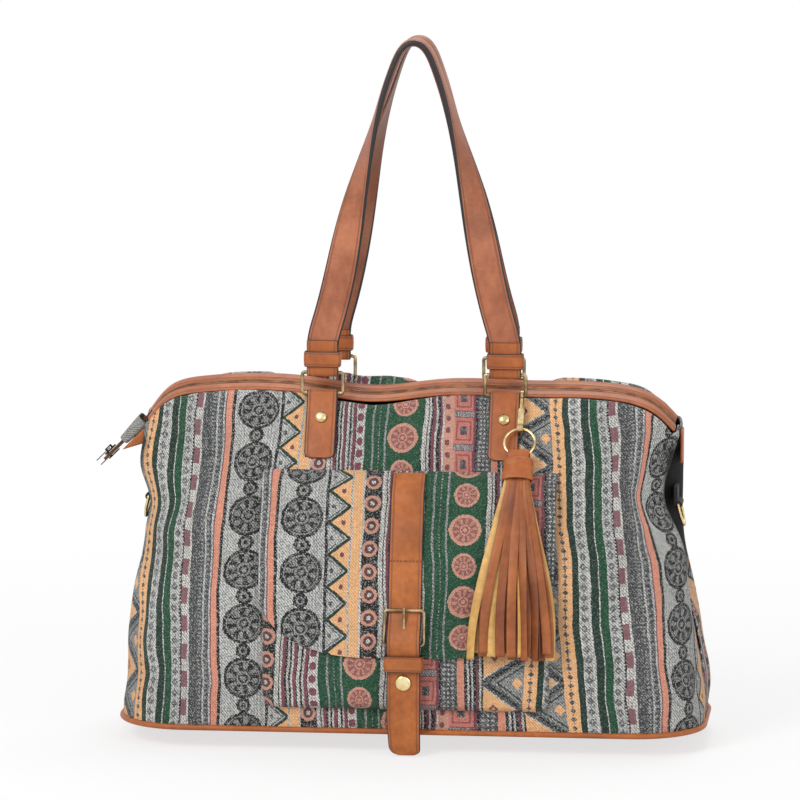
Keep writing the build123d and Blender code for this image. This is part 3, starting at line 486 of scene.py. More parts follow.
def leatherMaterial(name, tone, halfWidth=None, stitchInset=None, thickness=2.0, paintShows=None,
                    seamAt=None):
    # a strap's own map runs across from the middle of its front, so halfWidth tells edges and stitches
    material, tree, shader = newMaterial(name)
    group = addNode(tree, "ShaderNodeGroup", node_tree=leather)
    tree.links.new(objectCoords(tree), group.inputs["Vector"])
    group.inputs["Tone"].default_value, group.inputs["Deep"].default_value = leatherTones[tone]
    colour = group.outputs["Colour"]
    height = Signal(tree, group.outputs["Height"])
    if halfWidth:
        u, along, _ = split(tree, flatCoords(tree))
        across = abs(u) * 1000.0
        if stitchInset:
            line = abs(across - (halfWidth - stitchInset))
            stitch = (line < stitching["half"]) * (along * 1000.0 % stitching["pitch"] < stitching["length"])
            groove = remap(tree, line, 0.0, stitching["groove"], 0.0, 1.0) - 1.0
            colour = mixColour(tree, (line < stitching["shade"]) * 0.35, colour, linear(95, 52, 34))
            colour = mixColour(tree, stitch * 0.8, colour, linear(140, 82, 54))
            height = groove * 2.0 + height + stitch * 1.6
        if seamAt:
            level = abs(split(tree, objectCoords(tree))[2] - seamAt * mm)
            seam = (level < crossSeam["half"]) * (across < halfWidth)
            seam = seam * (across % crossSeam["pitch"] < crossSeam["length"])
            colour = mixColour(tree, seam * 0.75, colour, linear(112, 60, 36))
        if paintShows:
            paintFrom = halfWidth - paintShows
            edge = remap(tree, across, paintFrom, paintFrom + 0.4, 0.0, 1.0)
            outer = remap(tree, across, halfWidth + thickness, halfWidth + thickness + 0.5, 1.0, 0.0)
            colour = mixColour(tree, edge * outer, colour, edgePaint)
        colour = mixColour(tree, (across > halfWidth + thickness) * 0.45, colour, linear(96, 62, 44))
    tree.links.new(colour, shader.inputs["Base Color"])
    tree.links.new(group.outputs["Roughness"], shader.inputs["Roughness"])
    shader.inputs["Specular IOR Level"].default_value = 0.34
    bumpInto(tree, shader, height, 0.0003, 0.6)
    return material


def clothMaterial(name, first, second, pitch):
    material, tree, shader = newMaterial(name)
    coords = objectCoords(tree)
    waves = [(axis * (2 * math.pi / (pitch * mm))).apply("SINE") for axis in split(tree, coords)]
    weave = (waves[0] + waves[1]) * waves[2]
    share = weave * 0.3 + noiseAt(tree, coords, 600.0)
    colour = mixColour(tree, remap(tree, share, 0.2, 0.8, 0.0, 1.0), first, second)
    tree.links.new(colour, shader.inputs["Base Color"])
    shader.inputs["Roughness"].default_value = 0.85
    shader.inputs["Sheen Weight"].default_value = 0.1
    bumpInto(tree, shader, share, 0.0004, 0.6)
    return material


def metalMaterial(name, bright, dull, roughness):
    material, tree, shader = newMaterial(name)
    coords = objectCoords(tree)
    cloudy = noiseAt(tree, coords, 90.0, 4.0)
    scratch = noiseAt(tree, coords, 700.0, 2.0)
    colour = mixColour(tree, remap(tree, cloudy, 0.42, 0.62, 0.0, 1.0), dull, bright)
    tree.links.new(colour, shader.inputs["Base Color"])
    shader.inputs["Metallic"].default_value = 1.0
    feed(tree, shader.inputs["Roughness"], scratch * 0.16 + roughness)
    bumpInto(tree, shader, scratch, 0.00008, 0.4)
    return material


def boardMaterial(name):
    material, tree, shader = newMaterial(name)
    speck = noiseAt(tree, objectCoords(tree), 300.0, 3.0)
    colour = mixColour(tree, speck, linear(40, 36, 33), linear(66, 60, 54))
    tree.links.new(colour, shader.inputs["Base Color"])
    shader.inputs["Roughness"].default_value = 0.8
    bumpInto(tree, shader, speck, 0.0003, 0.4)
    return material


plainTan = leatherMaterial("plainTan", "tan")
darkTeeth = metalMaterial("darkTeeth", linear(146, 102, 72), linear(104, 70, 50), 0.45)
agedBrass = metalMaterial("agedBrass", linear(58, 52, 46), linear(36, 32, 29), 0.5)
buckleBrass = metalMaterial("buckleBrass", linear(186, 166, 128), linear(126, 108, 82), 0.24)
paleBrass = metalMaterial("paleBrass", linear(236, 214, 164), linear(186, 160, 112), 0.16)
brightBrass = metalMaterial("brightBrass", linear(244, 226, 176), linear(220, 192, 132), 0.12)
liningCloth = clothMaterial("liningCloth", linear(70, 56, 44), linear(110, 90, 70), 1.2)
tapeCloth = clothMaterial("tapeCloth", linear(52, 44, 40), linear(84, 70, 60), 1.4)
greyCloth = clothMaterial("greyCloth", linear(92, 92, 92), linear(170, 168, 162), 1.8)
blackWebbing = clothMaterial("blackWebbing", linear(22, 22, 24), linear(44, 44, 48), 2.2)
boardDark = boardMaterial("baseBoard")
print("stage: materials made")


# Curves and meshes


def curveThrough(points, count, startAlong=None, endAlong=None):
    # a smooth cubic curve through the points, given back at even steps of length
    given = np.array(points, float)
    chord = np.concatenate([[0.0], np.cumsum(np.linalg.norm(np.diff(given, axis=0), axis=1))])
    steps = np.diff(chord)
    total = len(given)
    rows = np.zeros((total, total))
    right = np.zeros_like(given)
    rows[0, 0] = rows[-1, -1] = 1.0
    if startAlong is not None:
        rows[0, :2] = (2 * steps[0], steps[0])
        right[0] = 6 * ((given[1] - given[0]) / steps[0] - np.array(startAlong, float))
    if endAlong is not None:
        rows[-1, -2:] = (steps[-1], 2 * steps[-1])
        right[-1] = 6 * (np.array(endAlong, float) - (given[-1] - given[-2]) / steps[-1])
    for i in range(1, total - 1):
        rows[i, i - 1:i + 2] = (steps[i - 1], 2 * (steps[i - 1] + steps[i]), steps[i])
        right[i] = 6 * ((given[i + 1] - given[i]) / steps[i] - (given[i] - given[i - 1]) / steps[i - 1])
    bends = np.linalg.solve(rows, right)
    at = np.linspace(0, chord[-1], count * 6)
    part = np.clip(np.searchsorted(chord, at, side="right") - 1, 0, total - 2)
    step = steps[part][:, None]
    low = (chord[part + 1][:, None] - at[:, None]) / step
    high = 1 - low
    fine = low * given[part] + high * given[part + 1]
    fine += ((low**3 - low) * bends[part] + (high**3 - high) * bends[part + 1]) * step**2 / 6
    length = np.concatenate([[0.0], np.cumsum(np.linalg.norm(np.diff(fine, axis=0), axis=1))])
    even = np.linspace(0, length[-1], count)
    return np.stack([np.interp(even, length, fine[:, k]) for k in range(fine.shape[1])], axis=1)


def runLength(points):
    return np.concatenate([[0.0], np.cumsum(np.linalg.norm(np.diff(points, axis=0), axis=1))])


def finishPiece(bm, name, material, body):
    mesh = bpy.data.meshes.new(name)
    bm.to_mesh(mesh)
    bm.free()
    for face in mesh.polygons:
        face.use_smooth = True
    piece = bpy.data.objects.new(name, mesh)
    bpy.context.scene.collection.objects.link(piece)
    mesh.materials.append(material)
    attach(piece, body)
    return piece


def softenPiece(piece, levels=1):
    soft = piece.modifiers.new("soften", "SUBSURF")
    soft.levels = soft.render_levels = levels
    return piece


def thickenPiece(piece, thickness):
    wall = piece.modifiers.new("wall", "SOLIDIFY")
    wall.thickness = thickness * mm
    wall.offset = -1.0  # inwards from the surface
    wall.use_even_offset = False
    return piece


def gridPiece(name, places, flat, material, body="bag", turned=False, tube=False, capped=False):
    # places and flat are arrays by row and column, in mm; a tube's first and last columns meet
    rows, cols = places.shape[0] - 1, places.shape[1] - 1
    bm = bmesh.new()
    bmesh.ops.create_grid(bm, x_segments=cols, y_segments=rows, size=1.0)
    layer = bm.loops.layers.uv.new("flat")
    where = {}
    for vert in bm.verts:
        where[vert] = (round((vert.co.y + 1) / 2 * rows), round((vert.co.x + 1) / 2 * cols))
    for face in bm.faces:
        for loop in face.loops:
            j, i = where[loop.vert]
            loop[layer].uv = (flat[j, i, 0] * mm, flat[j, i, 1] * mm)
    for vert, (j, i) in where.items():
        vert.co = Vector(places[j, i]) * mm
    if tube:
        bmesh.ops.remove_doubles(bm, verts=bm.verts[:], dist=1e-6)
        first = [vert for vert, (j, i) in where.items() if j == 0 and vert.is_valid]
        if capped:
            rims = [edge for edge in bm.edges if all(vert in first for vert in edge.verts)]
            bmesh.ops.holes_fill(bm, edges=rims, sides=0)
        bmesh.ops.recalc_face_normals(bm, faces=bm.faces[:])
    if turned:
        bmesh.ops.reverse_faces(bm, faces=bm.faces[:])
    return finishPiece(bm, name, material, body)


def slabSection(halfWidth, thickness, crown=0.0, faceSteps=6, edgeSteps=3):
    # round the section: places across, heights and distances from the middle of the front
    half = thickness / 2
    bend = min(half, halfWidth * 0.5)
    flat = halfWidth - bend
    points = []
    for n in range(faceSteps + 1):
        share = -1 + 2 * n / faceSteps
        points.append((share * flat, half + crown * (1 - share * share), share * flat))
    for n in range(1, edgeSteps + 1):
        angle = math.pi / 2 - math.pi * n / (edgeSteps + 1)
        reach = halfWidth - 0.6 + n * thickness / (edgeSteps + 1)
        points.append((flat + bend * math.cos(angle), half * math.sin(angle), reach))
    for n in range(faceSteps + 1):
        share = 1 - 2 * n / faceSteps
        points.append((share * flat, -half, halfWidth + thickness + flat * (1 - share)))
    for n in range(1, edgeSteps + 1):
        angle = -math.pi / 2 - math.pi * n / (edgeSteps + 1)
        reach = halfWidth - 0.6 + (edgeSteps + 1 - n) * thickness / (edgeSteps + 1)
        points.append((-flat + bend * math.cos(angle), half * math.sin(angle), -reach))
    return points


def strapPiece(name, path, across, halfWidth, thickness, material, body="bag", crown=0.0, closed=False,
               levels=1, leftHalf=None, rightHalf=None, faceSteps=6, swell=None):
    # path and across are points and unit vectors in mm; the strap's front faces along across x path
    path = np.array(path, float)
    count = len(path)
    across = np.array(across, float)
    if across.ndim == 1:
        across = np.tile(across, (count, 1))
    if closed:
        along = np.roll(path, -1, axis=0) - np.roll(path, 1, axis=0)
    else:
        along = np.gradient(path, axis=0)
    along /= np.linalg.norm(along, axis=1)[:, None]
    facing = np.cross(across, along)
    facing /= np.linalg.norm(facing, axis=1)[:, None]
    section = slabSection(halfWidth, thickness, crown, faceSteps)
    turns = len(section)
    left = np.full(count, halfWidth) if leftHalf is None else np.array(leftHalf, float)
    right = np.full(count, halfWidth) if rightHalf is None else np.array(rightHalf, float)
    length = runLength(path)
    bm = bmesh.new()
    bmesh.ops.create_grid(bm, x_segments=turns, y_segments=count - (0 if closed else 1), size=1.0)
    rows = count if closed else count - 1
    layer = bm.loops.layers.uv.new("flat")
    where = {}
    for vert in bm.verts:
        where[vert] = (round((vert.co.y + 1) / 2 * rows), round((vert.co.x + 1) / 2 * turns))
    step = length[1] - length[0]
    for face in bm.faces:
        columns = [where[loop.vert][1] for loop in face.loops]
        wrap = max(columns) == turns
        for loop in face.loops:
            j, i = where[loop.vert]
            u = section[i % turns][2] if i < turns else section[0][2]
            if wrap and i < turns and u > 0:
                u = -u
            loop[layer].uv = (u * mm, (length[j] if j < count else length[-1] + step) * mm)
    for vert, (j, i) in where.items():
        j %= count
        x, h, _ = section[i % turns]
        scale = (right[j] if x > 0 else left[j]) / halfWidth
        thick = 1.0 if swell is None else swell[j]
        vert.co = Vector(path[j] + across[j] * x * scale + facing[j] * h * thick) * mm
    bmesh.ops.remove_doubles(bm, verts=bm.verts[:], dist=1e-7)
    if not closed:
        rims = [edge for edge in bm.edges if edge.is_boundary]
        made = bmesh.ops.holes_fill(bm, edges=rims, sides=0)
        for face in made["faces"]:
            for loop in face.loops:
                loop[layer].uv = ((halfWidth + thickness * 0.5) * mm, 0)
        bmesh.ops.inset_region(bm, faces=made["faces"], thickness=0.0002, use_even_offset=True)
    bmesh.ops.recalc_face_normals(bm, faces=bm.faces[:])
    piece = finishPiece(bm, name, material, body)
    if levels:
        softenPiece(piece, levels)
    return piece


def roundedRing(halfX, halfY, corner, centre, step=4.0):
    # a level ring with round corners, as points that are about a step apart
    turns = []
    for sideX, sideY, start in ((1, 1, 0), (-1, 1, 90), (-1, -1, 180), (1, -1, 270)):
        for turn in (0, 30, 60, 90):
            angle = math.radians(start + turn)
            x = sideX * (halfX - corner) + corner * math.cos(angle)
            y = sideY * (halfY - corner) + corner * math.sin(angle)
            turns.append(np.array(centre) + (x, y, 0.0))
    ring = []
    for n, point in enumerate(turns):
        after = turns[(n + 1) % len(turns)]
        count = max(int(math.dist(point, after) / step), 1)
        ring += [point + (after - point) * k / count for k in range(count)]
    return ring


def roundedHalf(half, corner, fromEnd):
    # half width of a strap near its end, with a round corner
    over = max(corner - fromEnd, 0.0)
    return half - corner + math.sqrt(max(corner**2 - over**2, 0.0))


def ripple(x, y, z, seed, scale):
    return noise.noise(Vector((x / scale + seed * 7.3, y / scale + seed * 3.1, z / scale - seed * 5.7)))


def clamp(value, low=0.0, high=1.0):
    return min(max(value, low), high)


def smooth(value, low, high):
    share = clamp((value - low) / (high - low))
    return share * share * (3 - 2 * share)


# The bag's own shape, as its walls are cut

bag = {
    "baseHalf": 258.0, "depthHalf": 95.0, "baseCorner": 60.0, "seam": 19.0,
    "waistLeft": 241.0, "waistRight": 236.0, "waist": 205.0,
    "ridge": 311.0, "ridgeDepth": 18.0, "lean": 2.4, "topCorner": 100.0,
    "fold": 20.0, "foldLow": 110.0, "foldHigh": 284.0,
    "tilt": math.tan(math.radians(16.0)),
}
ridgePoints = (
    (-239.0, 284.0), (-222.0, 303.0), (-193.0, 311.0), (-90.0, 311.0), (-38.0, 305.0), (20.0, 311.0),
    (100.0, 311.0), (178.0, 309.0), (212.0, 299.0), (231.0, 282.0),
)
ridgeLine = curveThrough(ridgePoints, 400)


def ridgeAt(x):
    return float(np.interp(x, ridgeLine[:, 0], ridgeLine[:, 1]))


def riseAt(z):
    return clamp((z - bag["seam"]) / (bag["ridge"] - 3.0 - bag["seam"]))


def depthAt(z):
    return bag["depthHalf"] + (bag["ridgeDepth"] - bag["depthHalf"]) * riseAt(z) ** bag["lean"]


def halfLengthAt(z, waist):
    turn = clamp((z - 30.0) / (bag["waist"] - 30.0))
    return waist + (bag["baseHalf"] - waist) * (0.5 + 0.5 * math.cos(math.pi * turn))


def foldAt(z):
    return bag["fold"] * math.sin(math.pi * clamp((z - bag["foldLow"]) / (bag["foldHigh"] - bag["foldLow"])))


outlineShares = [0.0, 0.015, 0.045] + [0.045 + 0.165 * n / 16 for n in range(1, 17)]
outlineShares += [0.21 + 0.29 * n / 22 for n in range(1, 23)]
outlineShares += [1 - share for share in outlineShares[-2::-1]]


def outlinePoint(share, z):
    # right end seam at 0, left end seam at 1, as (x, distance from the middle plane)
    leftSide = share > 0.5
    if leftSide:
        share = 1 - share
    depth = depthAt(z)
    rise = riseAt(z)
    endLow, endHigh = bag["depthHalf"] - bag["baseCorner"], bag["ridgeDepth"] - 6.0
    end = endLow + (endHigh - endLow) * rise
    corner = bag["baseCorner"] + (bag["topCorner"] - bag["baseCorner"]) * rise
    half = halfLengthAt(z, bag["waistLeft"] if leftSide else bag["waistRight"])
    if share < 0.045:
        part = share / 0.045
        x, y = half - foldAt(z) * (1 - part), end * part
    elif share < 0.21:
        t = (share - 0.045) / 0.165
        pullX, pullY = corner * 0.4477, end + (depth - end) * 0.5523
        a, b, c, d = (1 - t) ** 3, 3 * t * (1 - t) ** 2, 3 * t * t * (1 - t), t**3
        x = a * half + b * half + c * (half - pullX) + d * (half - corner)
        y = a * end + b * pullY + c * depth + d * depth
    else:
        x, y = (half - corner) * (0.5 - share) / 0.29, depth
    return (-x if leftSide else x), y


def panelPlaces(side, rows=70):
    cols = len(outlineShares)
    places = np.zeros((rows + 3, cols, 3))
    for i, share in enumerate(outlineShares):
        top = 300.0
        for _ in range(8):
            x, y = outlinePoint(share, top)
            top = ridgeAt(x) + side * y * bag["tilt"]
        for j in range(rows + 1):
            part = j / rows
            z = bag["seam"] - 0.4 + (top - bag["seam"] + 0.4) * (part + 0.06 * math.sin(math.pi * part))
            x, y = outlinePoint(share, z)
            places[j, i] = (x, side * y, z)
        x, y, z = places[rows, i]
        for extra, inward in ((1, 3.5), (2, 7.0)):
            nearY = side * max(abs(y) - inward, 0.1)
            places[rows + extra, i] = (x, nearY, z - side * (y - nearY) * bag["tilt"] + 0.15)
    return places


def flatPlaces(places):
    # width is measured from the middle column, height along each column
    wide = np.linalg.norm(np.diff(places, axis=1), axis=2)
    tall = np.linalg.norm(np.diff(places, axis=0), axis=2)
    u = np.concatenate([np.zeros((places.shape[0], 1)), np.cumsum(wide, axis=1)], axis=1)
    middle = np.array([np.interp(0.0, -places[j, :, 0], u[j]) for j in range(places.shape[0])])
    u = middle[:, None] - u
    v = np.concatenate([np.zeros((1, places.shape[1])), np.cumsum(tall, axis=0)], axis=0) + places[0, 0, 2]
    return np.stack([u, v], axis=2)


def leanPrint(flat, places):
    # the front was cut a little askew: its stripes spread to the foot at the right and lean in at the left
    for j in range(places.shape[0]):
        for i in range(places.shape[1]):
            u, z = flat[j, i, 0], places[j, i, 2]
            right = smooth(u, 20.0, 120.0) * 9.0 * (150.0 - z) / 120.0
            left = smooth(-u, 20.0, 120.0) * (4.5 + 5.0 * smooth(z, 180.0, 290.0))
            wide = clamp((u - 140.0) * 0.11, 0.0, 7.0)  # cloth pulled wider toward the right end
            flat[j, i, 0] = u - right - left - wide
    return flat


def outwardOf(places, side):
    du = np.gradient(places, axis=1)
    dv = np.gradient(places, axis=0)
    out = np.cross(du, dv)
    out /= np.maximum(np.linalg.norm(out, axis=2), 1e-9)[:, :, None]
    wrong = out[:, :, 1] * side < 0
    flip = -1.0 if np.mean(wrong) > 0.5 else 1.0
    return out * flip


panelFolds = {"soft": 2.6, "end": 6.0, "top": 2.0, "hem": 1.5, "quiet": 0.25}


def crease(x, z, lowPoint, highPoint, width):
    # how near a place is to a straight fold between two points on the wall
    ax, az = lowPoint
    bx, bz = highPoint
    length = (bx - ax) ** 2 + (bz - az) ** 2
    part = clamp(((x - ax) * (bx - ax) + (z - az) * (bz - az)) / length)
    away = math.hypot(x - ax - part * (bx - ax), z - az - part * (bz - az))
    fade = math.sin(math.pi * (0.08 + 0.84 * part))
    return math.exp(-(away / width) ** 2) * fade


def rollUp(x, fromTop):
    # behind the zip the back wall's cloth stands up in a soft roll, highest where the ridge dips
    over = 15.0 * smooth(x, -104.0, -84.0) * smooth(x, 18.0, -22.0)
    over += 10.0 * smooth(x, 104.0, 130.0) * smooth(x, 238.0, 190.0)
    over += 9.0 * smooth(x, -200.0, -172.0) * smooth(x, -112.0, -138.0)
    hill = smooth(fromTop, 0.5, 10.0) * smooth(fromTop, 48.0, 12.0)
    return over * hill * (1 + 0.18 * ripple(x, 0, 0, 61, 9.0))


def endDraw(x, z, share, side):
    # the front wall's corners are drawn in beside the strap rings, more on the right
    if side > 0:
        return (0.0, 0.0, 0.0)
    centre, spread, most = (226.0, 64.0, 17.0) if x > 0 else (214.0, 30.0, 6.5)
    height = clamp(1 - abs(z - centre) / spread)
    height = height * height * (3 - 2 * height)
    nearEnd = min(share, 1 - share)
    weight = smooth(nearEnd, 0.0, 0.022) * smooth(nearEnd, 0.20, 0.07)
    pull = most * height * weight
    return (-pull if x > 0 else pull, -0.22 * pull, 0.0)


# Creases: low and high end as (x, z), half width, how far the cloth stands out
frontCreases = (
    ((172, 60), (214, 250), 11, -4.5), ((196, 40), (232, 200), 9, 3.0), ((150, 262), (222, 214), 9, -3.5),
    ((160, 238), (226, 178), 10, 2.5), ((-176, 262), (-228, 190), 11, -3.2),
    ((-222, 60), (-206, 210), 12, 3.0), ((-190, 45), (-170, 180), 11, -2.4),
    ((-150, 285), (-60, 262), 8, -1.4), ((120, 286), (60, 262), 8, -1.4),
    ((205, 90), (250, 60), 11, -3.0), ((-205, 80), (-250, 50), 11, -2.6),
)
backCreases = (
    ((-150, 90), (-120, 250), 14, -3.0), ((140, 80), (170, 240), 13, -3.2), ((-60, 60), (40, 110), 16, 2.2),
    ((-40, 180), (70, 150), 15, -2.4), ((190, 60), (214, 220), 10, 3.0), ((-200, 60), (-214, 220), 10, 3.0),
    ((-170, 270), (-90, 235), 9, -1.8), ((160, 272), (90, 238), 9, -1.8),
)


def makePanel(name, side, creases, seed, material):
    places = panelPlaces(side)
    flat = flatPlaces(places)
    if side < 0:
        flat = leanPrint(flat, places)
    out = outwardOf(places, side)
    rows, cols = places.shape[:2]
    for j in range(rows):
        for i in range(cols):
            x, y, z = places[j, i]
            top = ridgeAt(x) - 6.0
            share = outlineShares[i]
            seamFade = smooth(min(share, 1 - share), 0.0, 0.03)
            edgeFade = smooth(z, 19.0, 45.0) * smooth(top - z, 2.0, 34.0)
            drawn = endDraw(x, z, share, side)
            move = panelFolds["soft"] * ripple(x, y, z, seed, 85.0) * edgeFade
            move += 0.9 * ripple(x, y, z, seed + 1, 26.0) * edgeFade
            ends = panelFolds["end"] * smooth(abs(x), 165.0, 235.0) * edgeFade * seamFade
            move += ends * ripple(x * 0.8, y, z * 0.4, seed + 2, 34.0)
            for low, high, width, lift in creases:
                move += lift * crease(x, z, low, high, width) * edgeFade
            gather = smooth(top - z, 30.0, 0.0)
            move += panelFolds["top"] * gather * ripple(x, 0, z * 0.25, seed + 3, 7.5) * seamFade
            hem = smooth(z, 52.0, 20.0)
            move += panelFolds["hem"] * hem * ripple(x, y, z * 0.2, seed + 4, 8.5)
            if side < 0:
                covered = smooth(136.0 - abs(x), 0.0, 12.0) * smooth(z, 30.0, 42.0) * smooth(z, 254.0, 244.0)
                move = move * (1 - covered) - panelFolds["quiet"] * covered
                tab = smooth(98.0 - abs(x), 0.0, 6.0) * smooth(z, 246.0, 256.0)
                move = min(move, 0.6) * tab + move * (1 - tab)
            else:
                tab = smooth(96.0 - abs(x), 0.0, 8.0) * smooth(z, 254.0, 264.0)
                move = min(move, 0.6) * tab + move * (1 - tab)
            if z > top + 1.0 or j >= rows - 3:
                move = min(move, 0.0)
            if side > 0:
                rolled = rollUp(x, max(ridgeAt(x) + y * bag["tilt"] - z, 0.0) * 1.35)
                drawn = (0.0, 0.3 * rolled, rolled)
            places[j, i] = places[j, i] + out[j, i] * move + np.array(drawn)
    piece = gridPiece(name, places, flat, material, turned=side > 0)
    thickenPiece(piece, 2.2)
    softenPiece(piece)
    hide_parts("front_panel" if side < 0 else "back_panel")


makeCamera()
makePanel("frontWall", -1, frontCreases, 1, bodyPrint)
makePanel("backWall", 1, backCreases, 11, bodyPrint)
print("stage: walls made")

# Base, sagging to the ground along its middle

base = {
    "half": 258.0, "depth": 95.0, "corner": 60.0, "seam": 18.7,
    "keel": 0.72,  # length of the middle line, as a share of the base
    "steps": 14, "round": 96, "thickness": 1.8,
    "boardHalf": 160.0, "boardDepth": 45.0, "boardLift": 4.6,
}


def baseRim(share):
    # half way round the seam, from the middle of the front to the middle of the back
    half, depth, corner = base["half"], base["depth"], base["corner"]
    sides = (half - corner, corner * math.pi / 2, 2 * (depth - corner), corner * math.pi / 2, half - corner)
    at = share * sum(sides)
    if at <= sides[0]:
        return at, -depth
    at -= sides[0]
    if at <= sides[1]:
        angle = at / corner - math.pi / 2
        return half - corner + corner * math.cos(angle), corner - depth + corner * math.sin(angle)
    at -= sides[1]
    if at <= sides[2]:
        return half, -depth + corner + at
    at -= sides[2]
    if at <= sides[3]:
        angle = at / corner
        return half - corner + corner * math.cos(angle), depth - corner + corner * math.sin(angle)
    at -= sides[3]
    return half - corner - at, depth


def baseHeight(inward):
    return base["seam"] * max(1 - inward * 1.12, 0.0) ** 1.05


def makeBase():
    shape = (base["steps"] + 1, base["round"] + 1)
    places, flat = np.zeros(shape + (3,)), np.zeros(shape + (2,))
    for i in range(base["round"] + 1):
        share = 2 * i / base["round"]
        x, y = baseRim(share) if share <= 1 else baseRim(2 - share)
        if share > 1:
            x = -x
        for j in range(base["steps"] + 1):
            inward = j / base["steps"]
            spread = 1 - (1 - base["keel"]) * inward
            z = baseHeight(inward) + 0.6 * ripple(x, y, 0, 51, 24.0) * math.sin(math.pi * inward)
            flat[j, i] = (x * spread, y * (1 - inward))
            places[j, i] = (*flat[j, i], max(z, 0.0) if inward < 0.85 else 0.0)
    piece = gridPiece("baseSag", places, flat, plainTan, turned=True)
    thickenPiece(piece, base["thickness"])
    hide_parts("base_panel")


def makeBoard(cols=20, rows=12):
    places = np.zeros((rows + 1, cols + 1, 3))
    for j in range(rows + 1):
        y = base["boardDepth"] * (2 * j / rows - 1)
        for i in range(cols + 1):
            x = base["boardHalf"] * (2 * i / cols - 1)
            places[j, i] = (x, y, baseHeight(1 - abs(y) / base["depth"]) + base["boardLift"])
    piece = gridPiece("baseBoard", places, places[:, :, :2], boardDark)
    thickenPiece(piece, base["thickness"])
    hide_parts("base_board")


makeBase()
makeBoard()

# Bindings along the zip

binding = {"inner": 3.35, "width": 14.0, "thickness": 2.4, "lift": 0.35}
bindingLeather = leatherMaterial("bindingLeather", "paleTan", 7.0, 2.2, thickness=2.2)


def makeBinding(name, side, node):
    middle = side * (binding["inner"] + binding["width"] / 2)
    lift = middle * bag["tilt"] + binding["lift"] + binding["thickness"] / 2
    path = [(x, middle, z + lift) for x, z in ridgeLine[::3]]
    slope = np.array([0.0, 1.0, bag["tilt"]])
    slope /= np.linalg.norm(slope)
    half = binding["width"] / 2 - 0.1
    piece = strapPiece(name, path, -slope, half, binding["thickness"], bindingLeather,
                       crown=0.7)
    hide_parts(node)


makeBinding("frontBinding", -1, "front_binding")
makeBinding("backBinding", 1, "back_binding")
print("stage: bindings made")

# Pocket, flap and belt

pocket = {"half": 128.0, "bottom": 38.0, "top": 218.0, "out": 10.2, "corner": 14.0, "wall": 9.0}
flap = {
    "half": 131.0, "bottom": 87.0, "top": 246.0, "fold": 228.0, "out": 12.7,
    "cornerWide": 86.0, "cornerHigh": 55.0, "straightRows": 34, "cornerRows": 22,
}


def makePocket(cols=76, rows=60):
    places = np.zeros((rows + 1, cols + 1, 3))
    flat = np.zeros((rows + 1, cols + 1, 2))
    half = pocket["half"]
    for j in range(rows + 1):
        for i in range(cols + 1):
            x = half * (2 * i / cols - 1)
            z = pocket["bottom"] + j / rows * (pocket["top"] - pocket["bottom"])
            overX = max(abs(x) - (half - pocket["corner"]), 0.0)
            overZ = max(pocket["bottom"] + pocket["corner"] - z, 0.0)
            reach = math.hypot(overX, overZ)
            if overZ > 0 and overX > 0 and reach > pocket["corner"]:
                shrink = pocket["corner"] / reach
                x = math.copysign(half - pocket["corner"] + overX * shrink, x)
                z = pocket["bottom"] + pocket["corner"] - overZ * shrink
            edge = min(half - abs(x), z - pocket["bottom"])
            if overZ > 0 and overX > 0:
                edge = pocket["corner"] - min(reach, pocket["corner"])
            fall = clamp(edge / pocket["wall"])
            out = 0.7 + (pocket["out"] - 0.7) * math.sqrt(1 - (1 - fall) ** 2)
            soft = smooth(edge, 2.0, 24.0)
            out += soft * (0.7 * ripple(x, 0, z, 21, 42.0) + 0.3 * ripple(x, 0, z, 22, 14.0))
            out += smooth(edge, 14.0, 4.0) * 0.5 * ripple(x, 0, z, 23, 9.0)
            behindFlap = smooth(z, 96.0, 104.0)
            out = out * (1 - behindFlap) + min(out, pocket["out"] - 0.1) * behindFlap
            places[j, i] = (x, -depthAt(z) - out, z)
            onFoot = edge == z - pocket["bottom"]
            flat[j, i] = (x, z - 0.5 * (pocket["out"] - out) if onFoot else z)
    piece = gridPiece("pocketFront", places, flat, pocketPrint)
    thickenPiece(piece, 1.6)
    softenPiece(piece)
    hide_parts("pocket_body")


def flapHalf(z):
    start = flap["bottom"] + flap["cornerHigh"]
    if z >= start:
        return flap["half"]
    flat = flap["half"] - flap["cornerWide"]
    high = clamp((z - flap["bottom"]) / flap["cornerHigh"])
    return flat + flap["cornerWide"] * math.sqrt(max(1 - (1 - high) ** 2, 0.0))


def flapOut(z):
    if z <= flap["fold"]:
        return depthAt(z) + flap["out"]
    part = (z - flap["fold"]) / (flap["top"] - flap["fold"])
    low = depthAt(flap["fold"]) + flap["out"]
    high = depthAt(flap["top"]) + 2.7
    bulge = 1.6 * math.sin(math.pi * part)
    return low + (high - low) * part + bulge


